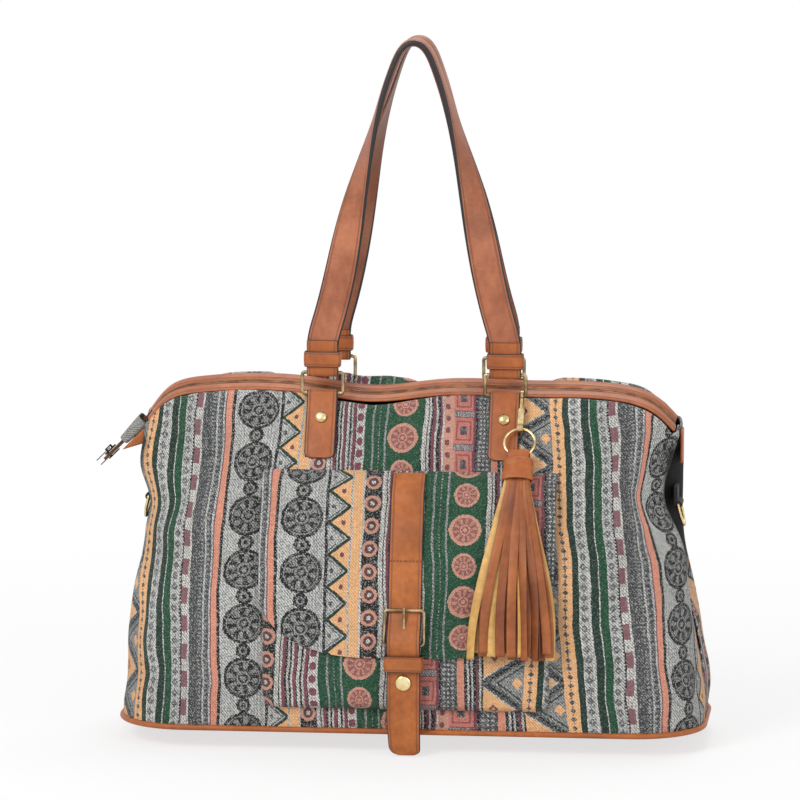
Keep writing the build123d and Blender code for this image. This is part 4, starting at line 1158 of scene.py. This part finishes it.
def makeFlap(cols=72):
    straight, corner = flap["straightRows"], flap["cornerRows"]
    cornerTop = flap["bottom"] + flap["cornerHigh"]
    rowHeights = [flap["top"] - (flap["top"] - cornerTop) * n / straight for n in range(straight + 1)]
    for n in range(1, corner + 1):
        rowHeights.append(cornerTop - flap["cornerHigh"] * math.sin(math.pi / 2 * n / corner))
    rows = len(rowHeights) - 1
    places = np.zeros((rows + 1, cols + 1, 3))
    flat = np.zeros((rows + 1, cols + 1, 2))
    rolled = 0.0
    for j, z in enumerate(rowHeights):
        half = flapHalf(z)
        if j:
            rolled += math.hypot(rowHeights[j - 1] - z, flapOut(rowHeights[j - 1]) - flapOut(z))
        for i in range(cols + 1):
            x = (-1 + 2 * i / cols) * half
            out = flapOut(z)
            edge = half - abs(x)
            low = smooth(z, 150.0, 90.0)
            out += low * smooth(edge, 30.0, 0.0) * (0.9 + 1.4 * ripple(x, 0, z, 31, 30.0))
            beside = smooth(z, 246.0, 215.0) * smooth(abs(x), 17.0, 34.0)
            out += (0.8 * ripple(x, 0, z, 32, 55.0) + 0.35 * ripple(x, 0, z, 33, 12.0)) * beside
            out += 0.66 * smooth(z, 140.0, 88.0) * math.sin(x / 13.0) * smooth(abs(x), 24.0, 60.0)
            sway = 1.2 * smooth(z, 160.0, 90.0) * ripple(0, 0, x, 34, 40.0)
            places[j, i] = (x, -out, z + sway)
            flat[j, i] = (x, flap["top"] - rolled)
    piece = gridPiece("pocketFlap", places, flat, flapPrint, turned=True)
    thickenPiece(piece, 2.0)
    softenPiece(piece)
    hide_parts("pocket_flap")


makePocket()
makeFlap()
print("stage: pocket and flap made")

belt = {
    "half": 15.0, "thickness": 2.4, "tip": 1.4, "steps": 190,
    "rightCorner": 5.0, "leftCorner": 8.0,
    "drawnFrom": 30.0, "drawn": 0.08,  # how high and how much the tip is drawn in at the left
    "short": 14.8, "eye": 3.6, "hinge": 99.0,
    "keeperHalf": 16.4, "keeperCorner": 2.4, "keeperFoot": 13.0, "keeper": 83.0,
}
beltLeather = leatherMaterial("beltLeather", "amber", 15.0, 3.0, thickness=2.4, paintShows=1.1, seamAt=171.0)
keeperLeather = leatherMaterial("keeperLeather", "amber", 7.2, 1.8, thickness=1.5, paintShows=0.9)


def closureY(offset):
    return -depthAt(belt["keeper"]) - offset


def beltLine():
    half = belt["thickness"] / 2
    overFlap = flap["out"] + 0.3 + half
    overShort = belt["short"] + 4.3 + half
    overEye = belt["short"] + 2 * belt["eye"] + 0.3 + half
    foldY = -depthAt(flap["fold"]) - flap["out"]
    seamY = -depthAt(flap["top"]) - 2.5
    lift = half + 2.4
    hang = -depthAt(50.0) - overShort
    points = [(seamY + share * (foldY - seamY) - lift, z) for share, z in ((0.12, 243.8), (0.55, 236.1))]
    points.append((foldY - lift + 0.4, flap["fold"]))
    for z, proud in ((212.0, 0.6), (194.0, 0.6), (160.0, 0.2), (137.0, 0.3), (125.0, 0.3)):
        points.append((-depthAt(z) - overFlap - proud, z))
    points += [(closureY(overEye), belt["hinge"]), (closureY(overShort + 1.6), 90.0)]
    points.append((closureY(overShort), 76.0))
    points += [(hang, 50.0), (hang + 0.5, 21.2), (hang + 2.0, belt["tip"])]
    line = curveThrough(points, belt["steps"])
    return np.stack([np.zeros(len(line)), line[:, 0], line[:, 1]], axis=1)


def makeBelt():
    path = beltLine()
    above = [max(z - belt["tip"], 0.0) for _, _, z in path]
    right = [roundedHalf(belt["half"], belt["rightCorner"], high) for high in above]
    left = [roundedHalf(belt["half"], belt["leftCorner"], high) for high in above]
    left = [half - belt["drawn"] * max(belt["drawnFrom"] - high, 0.0) for half, high in zip(left, above)]
    piece = strapPiece("flapBelt", path, (-1, 0, 0), belt["half"], belt["thickness"], beltLeather,
                       crown=0.5, leftHalf=right, rightHalf=left)
    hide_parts("flap_strap")


def makeShortBelt():
    back = closureY(belt["short"] + 2.0)
    low = (0.0, -depthAt(50.0) - 12.5, 50.0)
    path = curveThrough([low, (0.0, back, 72.0), (0.0, back, 86.0), (0.0, back, 97.5)], 20)
    piece = strapPiece("buckleBelt", path, (1, 0, 0), 13.4, 3.6, beltLeather, crown=0.2)
    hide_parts("buckle_strap")
    for n, offset in enumerate((-7.9, 7.9)):
        centre = np.array((offset, closureY(belt["short"] + belt["eye"]), belt["hinge"]))
        turns = np.linspace(0, 2 * math.pi, 17)[:-1]
        ring = [centre + 2.55 * np.array((0, math.cos(t), math.sin(t))) for t in turns]
        strapPiece(f"buckleBeltEye{n}", ring, (-1, 0, 0), 5.6, 1.8, beltLeather, closed=True)


def makeKeeper():
    back = closureY(belt["keeperFoot"])
    front = closureY(belt["short"] + 4.0 + belt["thickness"]) - 5.2
    halfY = (back - front) / 2 - 0.75
    centre = (0.0, (back + front) / 2, belt["keeper"])
    ring = roundedRing(belt["keeperHalf"], halfY, belt["keeperCorner"], centre)
    piece = strapPiece("beltKeeper", ring, (0, 0, -1), 7.2, 1.5, keeperLeather, crown=0.35,
                       closed=True)
    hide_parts("strap_keeper")


makeBelt()
makeShortBelt()
makeKeeper()
print("stage: belt made")

# Handles with their tabs and keepers

handle = {
    "top": 625.0, "half": 14.5, "thickness": 3.6, "fold": 24.0, "barDistance": 18.5, "eyeY": 24.5,
    "bend": 2.7,  # mm from a bar's middle to the middle of the leather round it
    "steps": 80, "frontSpread": 81.5, "backSpread": 76.0, "frontEye": 309.5, "backEye": 318.0,
}
loop = {"halfX": 15.4, "halfY": 5.1, "corner": 2.6, "above": 12.2, "half": 7.0, "thickness": 2.1}
tab = {"drop": 55.0, "half": 13.75, "thickness": 1.95, "corner": 5.0, "off": 2.3}
handleLeather = leatherMaterial("handleLeather", "russet", 14.5, 3.6, thickness=3.6, paintShows=1.5)
foldLeather = leatherMaterial("foldLeather", "tan", 14.0, 2.9, paintShows=0.9)
tabLeather = leatherMaterial("tabLeather", "tan", 13.75, 3.2, paintShows=1.3)
loopLeather = leatherMaterial("loopLeather", "tan", 7.0, 2.2, thickness=2.2, paintShows=0.8)


def handleLeg(side, spread, eyeHeight):
    # from the ring's bar up to the top, with the directions across the strap
    low = eyeHeight + handle["barDistance"] + handle["fold"]
    top = handle["top"] - handle["thickness"] / 2
    tall = top - low
    eyeY = handle["eyeY"]
    points = [
        (spread, side * eyeY, low - 3.0),
        (spread * 0.93, side * (eyeY - 0.6), low + 0.09 * tall),
        (spread * 0.665, side * (eyeY - 3.5), low + 0.45 * tall),
        (spread * 0.41, side * (eyeY - 6.0), low + 0.75 * tall),
        (spread * 0.23, side * (eyeY - 8.0), low + 0.915 * tall),
        (0.0, side * (handle["half"] + 1.0), top),
    ]
    path = curveThrough(points, handle["steps"], startAlong=(0, 0, 1), endAlong=(-1, 0, 0))
    along = np.gradient(path, axis=0)
    along /= np.linalg.norm(along, axis=1)[:, None]
    along[-1] = (-1, 0, 0)
    widths = []
    for place, run in zip(path, along):
        twist = math.radians(90) * smooth(place[2], low + 30.0, handle["top"] - 30.0)
        across = np.cross(run, (0, 1, 0))
        across = across / np.linalg.norm(across) * side
        direction = across * math.cos(twist) + np.array((0, 1, 0)) * math.sin(twist)
        direction -= run * direction.dot(run)
        widths.append(direction / np.linalg.norm(direction))
    return path, np.array(widths)


def makeHandle(name, side, spread, eyeHeight):
    path, widths = handleLeg(side, spread, eyeHeight)
    mirror = np.array((-1, 1, 1))
    full = np.concatenate([path, (path * mirror)[-2::-1]])
    across = np.concatenate([widths, (widths * mirror)[-2::-1]])
    body = f"{name}_handle"
    swell = [1.0 + 0.75 * smooth(place[2], 500.0, 590.0) for place in full]
    full[:, 2] -= np.array([1.8 * (value - 1.0) for value in swell])
    piece = strapPiece(f"{name}Handle", full, across, handle["half"], handle["thickness"], handleLeather,
                       body, crown=0.55, swell=swell)
    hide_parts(body)
    for where, x in (("left", -spread), ("right", spread)):
        makeFold(f"{name}{where.title()}Fold", side, x, eyeHeight, body)
        makeLoop(f"{name}{where.title()}Loop", side, x, eyeHeight, body, f"{name}_{where}_handle_keeper")
        makeTab(f"{name}{where.title()}Tab", side, x, eyeHeight, f"{name}_{where}_tab")


def makeFold(name, side, x, eyeHeight, body):
    # the strap's end, taken round the ring's upper bar and doubled back up
    high = eyeHeight + handle["barDistance"]
    y = side * handle["eyeY"]
    off = side * handle["bend"]
    up = handle["fold"]
    points = [(x, y + off, high + up + 5.0), (x, y + off, high + 6.0)]
    for t in np.linspace(0, math.pi, 9):
        points.append((x, y + off * math.cos(t), high - handle["bend"] * math.sin(t)))
    points += [(x, y - off, high + 6.0), (x, y - off, high + up)]
    path = curveThrough(points, 44)
    strapPiece(name, path, (side, 0, 0), 14.0, 1.9, foldLeather, body, crown=0.15)


def makeLoop(name, side, x, eyeHeight, body, node):
    centre = (x, side * handle["eyeY"], eyeHeight + handle["barDistance"] + loop["above"])
    ring = roundedRing(loop["halfX"], loop["halfY"], loop["corner"], centre)
    piece = strapPiece(name, ring, (0, 0, -1), loop["half"], loop["thickness"], loopLeather,
                       body, crown=0.3, closed=True)
    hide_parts(node)


def makeTab(name, side, x, eyeHeight, node):
    # from its foot on the wall up behind the ring's lower bar, round it and down again
    footZ = eyeHeight - tab["drop"]
    foot = np.array((x, side * (depthAt(footZ) + tab["off"]), footZ))
    eye = np.array((x, side * handle["eyeY"], eyeHeight))
    length = np.linalg.norm(eye - foot)
    up = (eye - foot) / length
    out = np.array((0, side * up[2], -side * up[1]))
    behind = ((1.05, 1.0), (1.05, length * 0.5), (1.2, length - 9.0))
    before = ((1.2, length - 9.0), (1.05, length * 0.5), (1.05, 0.0))
    points = [foot - out * off + up * high for off, high in behind]
    for t in np.linspace(-0.35, math.pi + 0.35, 10):
        points.append(eye - out * handle["bend"] * math.cos(t) + up * handle["bend"] * math.sin(t))
    points += [foot + out * off + up * high for off, high in before]
    path = curveThrough(points, 70)
    distance = runLength(path)
    halves = [roundedHalf(tab["half"], tab["corner"], distance[-1] - at) for at in distance]
    piece = strapPiece(name, path, (side, 0, 0), tab["half"], tab["thickness"], tabLeather,
                       crown=0.25, leftHalf=halves, rightHalf=halves)
    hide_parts(node)


makeHandle("front", -1, handle["frontSpread"], handle["frontEye"])
makeHandle("back", 1, handle["backSpread"], handle["backEye"])
print("stage: handles made")

# Tassel, hung along a slanting line from the bar of the front right tab

tassel = {
    "x": 96.625, "angle": math.radians(37.0), "ringBottom": 60.6, "headStart": 63.0, "headLength": 22.5,
    "headWide": 13.5, "headDeep": 7.0, "topHalf": 8.6, "endHalf": 34.0, "stripHalf": 4.1, "stripThick": 1.3,
    "offFlap": 8.5, "steps": 60,
}
stripLeathers = {
    "light": leatherMaterial("tasselLight", "fringeLight", 4.1, thickness=1.4, paintShows=0.1),
    "deep": leatherMaterial("tasselDeep", "fringeDeep", 4.1, thickness=1.4, paintShows=0.1),
    "reverse": leatherMaterial("tasselReverse", "fringeReverse", 4.1, thickness=1.4),
}
headLeather = leatherMaterial("tasselHead", "tan", 40.0, thickness=1.6)
tasselLoopLeather = leatherMaterial("tasselLoop", "tan", 10.0, thickness=1.6, paintShows=0.9)
hangDown = np.array((0.0, -math.sin(tassel["angle"]), -math.cos(tassel["angle"])))
hangFrom = np.array((tassel["x"], -handle["eyeY"], handle["frontEye"]))
hangOut = np.cross(hangDown, (1, 0, 0))


def atHang(distance):
    return hangFrom + hangDown * distance


def makeTasselHead(turns=40):
    # one strip wrapped round, with a groove below its top; levels hold distance down and width
    levels = (
        (0.0, 0.62), (0.4, 0.86), (1.6, 0.97), (4.0, 1.0), (7.4, 0.98),
        (8.4, 0.93), (9.4, 0.98), (15.0, 1.0), (20.0, 1.03), (22.5, 1.04),
    )
    places = np.zeros((len(levels), turns + 1, 3))
    flat = np.zeros((len(levels), turns + 1, 2))
    for j, (down, size) in enumerate(levels):
        for i in range(turns + 1):
            angle = 2 * math.pi * i / turns
            width = tassel["headWide"] * size * math.cos(angle)
            deep = tassel["headDeep"] * size * math.sin(angle)
            places[j, i] = atHang(tassel["headStart"] + down) + (width, 0, 0) + hangOut * deep
            flat[j, i] = (angle * 10.0 - 31.4, down)
    piece = gridPiece("tasselHead", places, flat, headLeather, "tassel",
                      tube=True, capped=True)
    thickenPiece(piece, 1.5)
    softenPiece(piece)
    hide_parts("tassel_head")


def makeTasselLoop():
    low, ring = tassel["headStart"] + 6.0, tassel["ringBottom"]
    points = [(low, 1.3), (ring + 2.6, 2.4), (ring - 2.9, 3.1), (ring - 5.6, 0.0), (ring - 2.9, -3.1)]
    points += [(ring + 2.6, -2.4), (low, -1.3)]
    path = curveThrough([atHang(down) + hangOut * out for down, out in points], 40)
    piece = strapPiece("tasselLoop", path, (1, 0, 0), 9.8, 1.5, tasselLoopLeather, "tassel",
                       crown=0.1)
    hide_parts("tassel_loop")


def fringeStrip(name, line, lift, share, kind, sway):
    # one strip that opens out from the head, sways and twists a little
    last = tassel["steps"] - 1
    length = int(tassel["steps"] - 3 * abs(sway[5]))
    path, across = [], []
    for k in range(length):
        step = k / last
        opening = smooth(step, 0.06, 0.9) ** 0.8
        aside = (tassel["topHalf"] + (tassel["endHalf"] - tassel["topHalf"]) * opening) * share
        aside += opening * (2.8 * sway[0] + 2.2 * sway[1] * math.sin(5.0 * step + 3 * sway[2]))
        along = line[min(k + 1, last)] - line[max(k - 1, 0)]
        along /= np.linalg.norm(along)
        normal = np.array((along[1], -along[0]))
        if normal[0] > 0:
            normal = -normal
        away = lift * (0.55 + 0.45 * opening) + opening * 1.1 * sway[3] * math.sin(5 * step + 2 * sway[4])
        depth = line[k] + normal * away
        path.append((tassel["x"] + aside, depth[0], depth[1]))
        twist = 0.5 * sway[4] * opening + 0.35 * math.sin(4 * step + 5 * sway[1]) * opening
        across.append((-math.cos(twist), -normal[0] * math.sin(twist), -normal[1] * math.sin(twist)))
    halves = [2.3 + 1.8 * smooth(k / last, 0.02, 0.25) for k in range(length)]
    return strapPiece(name, path, across, tassel["stripHalf"], tassel["stripThick"], stripLeathers[kind],
                      "tassel", levels=0, leftHalf=halves, rightHalf=halves, faceSteps=2)


# Rows of the fringe: lift off the middle row, places across, leathers
fringeRows = (
    (-2.6, (-0.96, -0.72, -0.46, -0.22, 0.04, 0.3, 0.52, 0.76, 0.98),
     "reverse deep deep light deep reverse deep deep reverse"),
    (0.3, (-1.06, -0.8, -0.5, -0.26, 0.0, 0.18, 0.46, 0.7, 0.94),
     "reverse deep reverse deep light reverse light deep light"),
    (3.4, (-0.74, -0.26, 0.03, 0.34, 0.62, 0.88), "light deep light light deep light"),
)


def makeFringe():
    start = atHang(tassel["headStart"] + 9.5)
    end = atHang(tassel["headStart"] + tassel["headLength"])
    rest = flap["out"] + tassel["offFlap"]
    points = [(start[1], start[2]), (end[1], end[2])]
    points += [(-depthAt(z) - rest, z) for z in (200.0, 150.0, 110.0, 85.0)]
    line = curveThrough(points, tassel["steps"])
    rng = np.random.default_rng(7)
    strips = []
    for lift, shares, leathers in fringeRows:
        for share, kind in zip(shares, leathers.split()):
            sway = rng.uniform(-1, 1, 6)
            strips.append(fringeStrip(f"fringe{len(strips):02d}", line, lift, share, kind, sway))
    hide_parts("tassel_fringe")


def makeHook():
    # the bar swells below the ring that carries it
    bm = bmesh.new()
    bm.from_mesh(nodes["snap_hook"].data)
    for vert in bm.verts:
        swell = 1.0 + 1.2 * smooth(vert.co.z, 0.3035, 0.2965)
        vert.co.x = tassel["x"] * mm + (vert.co.x - tassel["x"] * mm) * swell
    piece = finishPiece(bm, "hookBar", paleBrass, "tassel_hook")
    for face in piece.data.polygons:
        face.use_smooth = False
    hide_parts("snap_hook")


makeHook()
makeTasselHead()
makeTasselLoop()
makeFringe()
print("stage: tassel made")

# Zip tail and end patch

tail = {"x": -240.0, "z": 284.0, "start": 6.0, "end": 32.0, "half": 13.3, "thickness": 1.1}
patch = {"rootX": -239.0, "rootZ": 284.0, "half": 12.0, "bevel": 1.6}
tailAlong = np.array((-math.sqrt(0.5), 0, -math.sqrt(0.5)))
tailUp = np.array((-math.sqrt(0.5), 0, math.sqrt(0.5)))


def atTail(down, y, up):
    return np.array((tail["x"], 0, tail["z"])) + tailAlong * down + tailUp * up + np.array((0, y, 0))


def makeTailCover(turns=36, rows=14):
    places = np.zeros((rows + 1, turns + 1, 3))
    flat = np.zeros((rows + 1, turns + 1, 2))
    for j in range(rows + 1):
        down = tail["start"] + (tail["end"] - tail["start"]) * j / rows
        for i in range(turns + 1):
            angle = 2 * math.pi * i / turns
            squareX = math.copysign(abs(math.cos(angle)) ** 0.45, math.cos(angle))
            squareZ = math.copysign(abs(math.sin(angle)) ** 0.6, math.sin(angle))
            swell = 1 + 0.04 * ripple(down, angle * 6, 0, 41, 5.0)
            y = tail["half"] * squareX * swell * (1 + 0.02 * math.sin(j))
            up = 0.9 + (6.6 - 2.2 * j / rows) * squareZ * swell
            places[j, i] = atTail(down, y, up)
            flat[j, i] = (angle * 8, down)
    piece = gridPiece("tailCover", places, flat, greyCloth, tube=True)
    thickenPiece(piece, tail["thickness"])
    softenPiece(piece)
    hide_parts("zip_tail_cover")


def bevelPiece(bm, name, offset):
    bmesh.ops.recalc_face_normals(bm, faces=bm.faces[:])
    bmesh.ops.bevel(bm, geom=bm.edges[:], offset=offset * mm, segments=3, profile=0.5, affect="EDGES",
                    material=-1)
    return finishPiece(bm, name, plainTan, "bag")


def makeTailPatch():
    bm = bmesh.new()
    half = patch["half"] * mm
    corners = []
    for along, down in ((4.6, 9.5), (25.5, 30.5), (4.6, 24.0)):
        corners.append(bm.verts.new(((patch["rootX"] - along) * mm, -half, (patch["rootZ"] - down) * mm)))
    made = bmesh.ops.extrude_face_region(bm, geom=[bm.faces.new(corners)])
    moved = [item for item in made["geom"] if isinstance(item, bmesh.types.BMVert)]
    bmesh.ops.translate(bm, verts=moved, vec=(0, 2 * half, 0))
    piece = bevelPiece(bm, "tailPatch", patch["bevel"])
    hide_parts("zip_tail_patch")


def makeEndPatch():
    low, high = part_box("right_zip_end_patch")
    bm = bmesh.new()
    bmesh.ops.create_cube(bm, size=1.0)
    bmesh.ops.scale(bm, verts=bm.verts[:], vec=(2.0 * mm, 24.4 * mm, 29.4 * mm))
    bmesh.ops.translate(bm, verts=bm.verts[:], vec=(low + high) / 2)
    piece = bevelPiece(bm, "endPatch", 0.9)
    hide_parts("right_zip_end_patch")


makeTailCover()
makeTailPatch()
makeEndPatch()

# Materials of the fittings that stay as CAD made them
dressing = {
    "lining": liningCloth, "base_piping": plainTan, "zip_tape": tapeCloth, "zip_teeth": darkTeeth,
    "zip_slider": agedBrass, "zip_pull": agedBrass, "snap_stud": brightBrass,
    "buckle_frame": buckleBrass, "buckle_prong": buckleBrass,
    "hook_gate": paleBrass, "tassel_ring": paleBrass,
}
for side in ("left", "right"):
    dressing[f"{side}_side_tab"] = blackWebbing
    dressing[f"{side}_d_ring"] = paleBrass
    for end in ("front", "back"):
        dressing[f"{end}_{side}_rivet"] = paleBrass
        dressing[f"{end}_{side}_ring"] = buckleBrass
for node, material in dressing.items():
    holder = nodes[node]
    if not holder.material_slots:
        holder.data.materials.append(material)
    for materialSlot in holder.material_slots:
        materialSlot.link = "OBJECT"
        materialSlot.material = material
print("stage: fittings dressed")

# Floor and light


def makeFloor():
    bm = bmesh.new()
    bmesh.ops.create_grid(bm, x_segments=1, y_segments=1, size=6.0)
    mesh = bpy.data.meshes.new("floor")
    bm.to_mesh(mesh)
    bm.free()
    floor = bpy.data.objects.new("floor", mesh)
    bpy.context.scene.collection.objects.link(floor)
    material, tree, shader = newMaterial("paleFloor")
    shader.inputs["Base Color"].default_value = (0.9, 0.9, 0.9, 1)
    shader.inputs["Roughness"].default_value = 0.9
    glow = addNode(tree, "ShaderNodeEmission")
    glow.inputs["Color"].default_value = (1, 1, 1, 1)
    path = addNode(tree, "ShaderNodeLightPath")
    seen = Signal(tree, path.outputs["Is Camera Ray"]).apply("MAXIMUM", path.outputs["Is Glossy Ray"])
    away = addNode(tree, "ShaderNodeVectorMath", operation="LENGTH")
    tree.links.new(objectCoords(tree), away.inputs[0])
    mix = addNode(tree, "ShaderNodeMixShader")
    feed(tree, mix.inputs[0], seen * remap(tree, away.outputs["Value"], 0.25, 1.1, 0.70, 1.0))
    tree.links.new(shader.outputs[0], mix.inputs[1])
    tree.links.new(glow.outputs[0], mix.inputs[2])
    tree.links.new(mix.outputs[0], tree.nodes["Material Output"].inputs["Surface"])
    mesh.materials.append(material)


def makeWorld():
    world = bpy.data.worlds.new("studio")
    bpy.context.scene.world = world
    world.use_nodes = True
    tree = world.node_tree
    tree.nodes.clear()
    path = addNode(tree, "ShaderNodeLightPath")
    seen = Signal(tree, path.outputs["Is Camera Ray"]).apply("MAXIMUM", path.outputs["Is Glossy Ray"])
    seen = seen.apply("MAXIMUM", path.outputs["Is Transmission Ray"])
    soft = addNode(tree, "ShaderNodeBackground")
    soft.inputs["Color"].default_value = (1, 1, 1, 1)
    soft.inputs["Strength"].default_value = 0.42
    white = addNode(tree, "ShaderNodeBackground")
    white.inputs["Color"].default_value = (1, 1, 1, 1)
    white.inputs["Strength"].default_value = 1.0
    mix = addNode(tree, "ShaderNodeMixShader")
    feed(tree, mix.inputs[0], seen)
    tree.links.new(soft.outputs[0], mix.inputs[1])
    tree.links.new(white.outputs[0], mix.inputs[2])
    out = addNode(tree, "ShaderNodeOutputWorld")
    tree.links.new(mix.outputs[0], out.inputs["Surface"])


def makeLamp(name, place, aim, size, power):
    data = bpy.data.lights.new(name, "AREA")
    data.shape = "DISK"
    data.size = size
    data.energy = power
    lamp = bpy.data.objects.new(name, data)
    lamp.location = place
    lamp.rotation_mode = "QUATERNION"
    lamp.rotation_quaternion = (Vector(aim) - Vector(place)).to_track_quat("-Z", "Y")
    bpy.context.scene.collection.objects.link(lamp)


makeFloor()
makeWorld()
makeLamp("keyLamp", (-1.3, -2.0, 2.0), (0, 0, 0.25), 1.3, 46.0)
makeLamp("fillLamp", (1.8, -1.8, 1.0), (0, 0, 0.25), 1.4, 14.0)
makeLamp("topLamp", (0.2, 0.9, 2.2), (0, 0, 0.3), 1.2, 18.0)
bpy.context.scene.view_settings.view_transform = "Standard"
print("stage: light set")
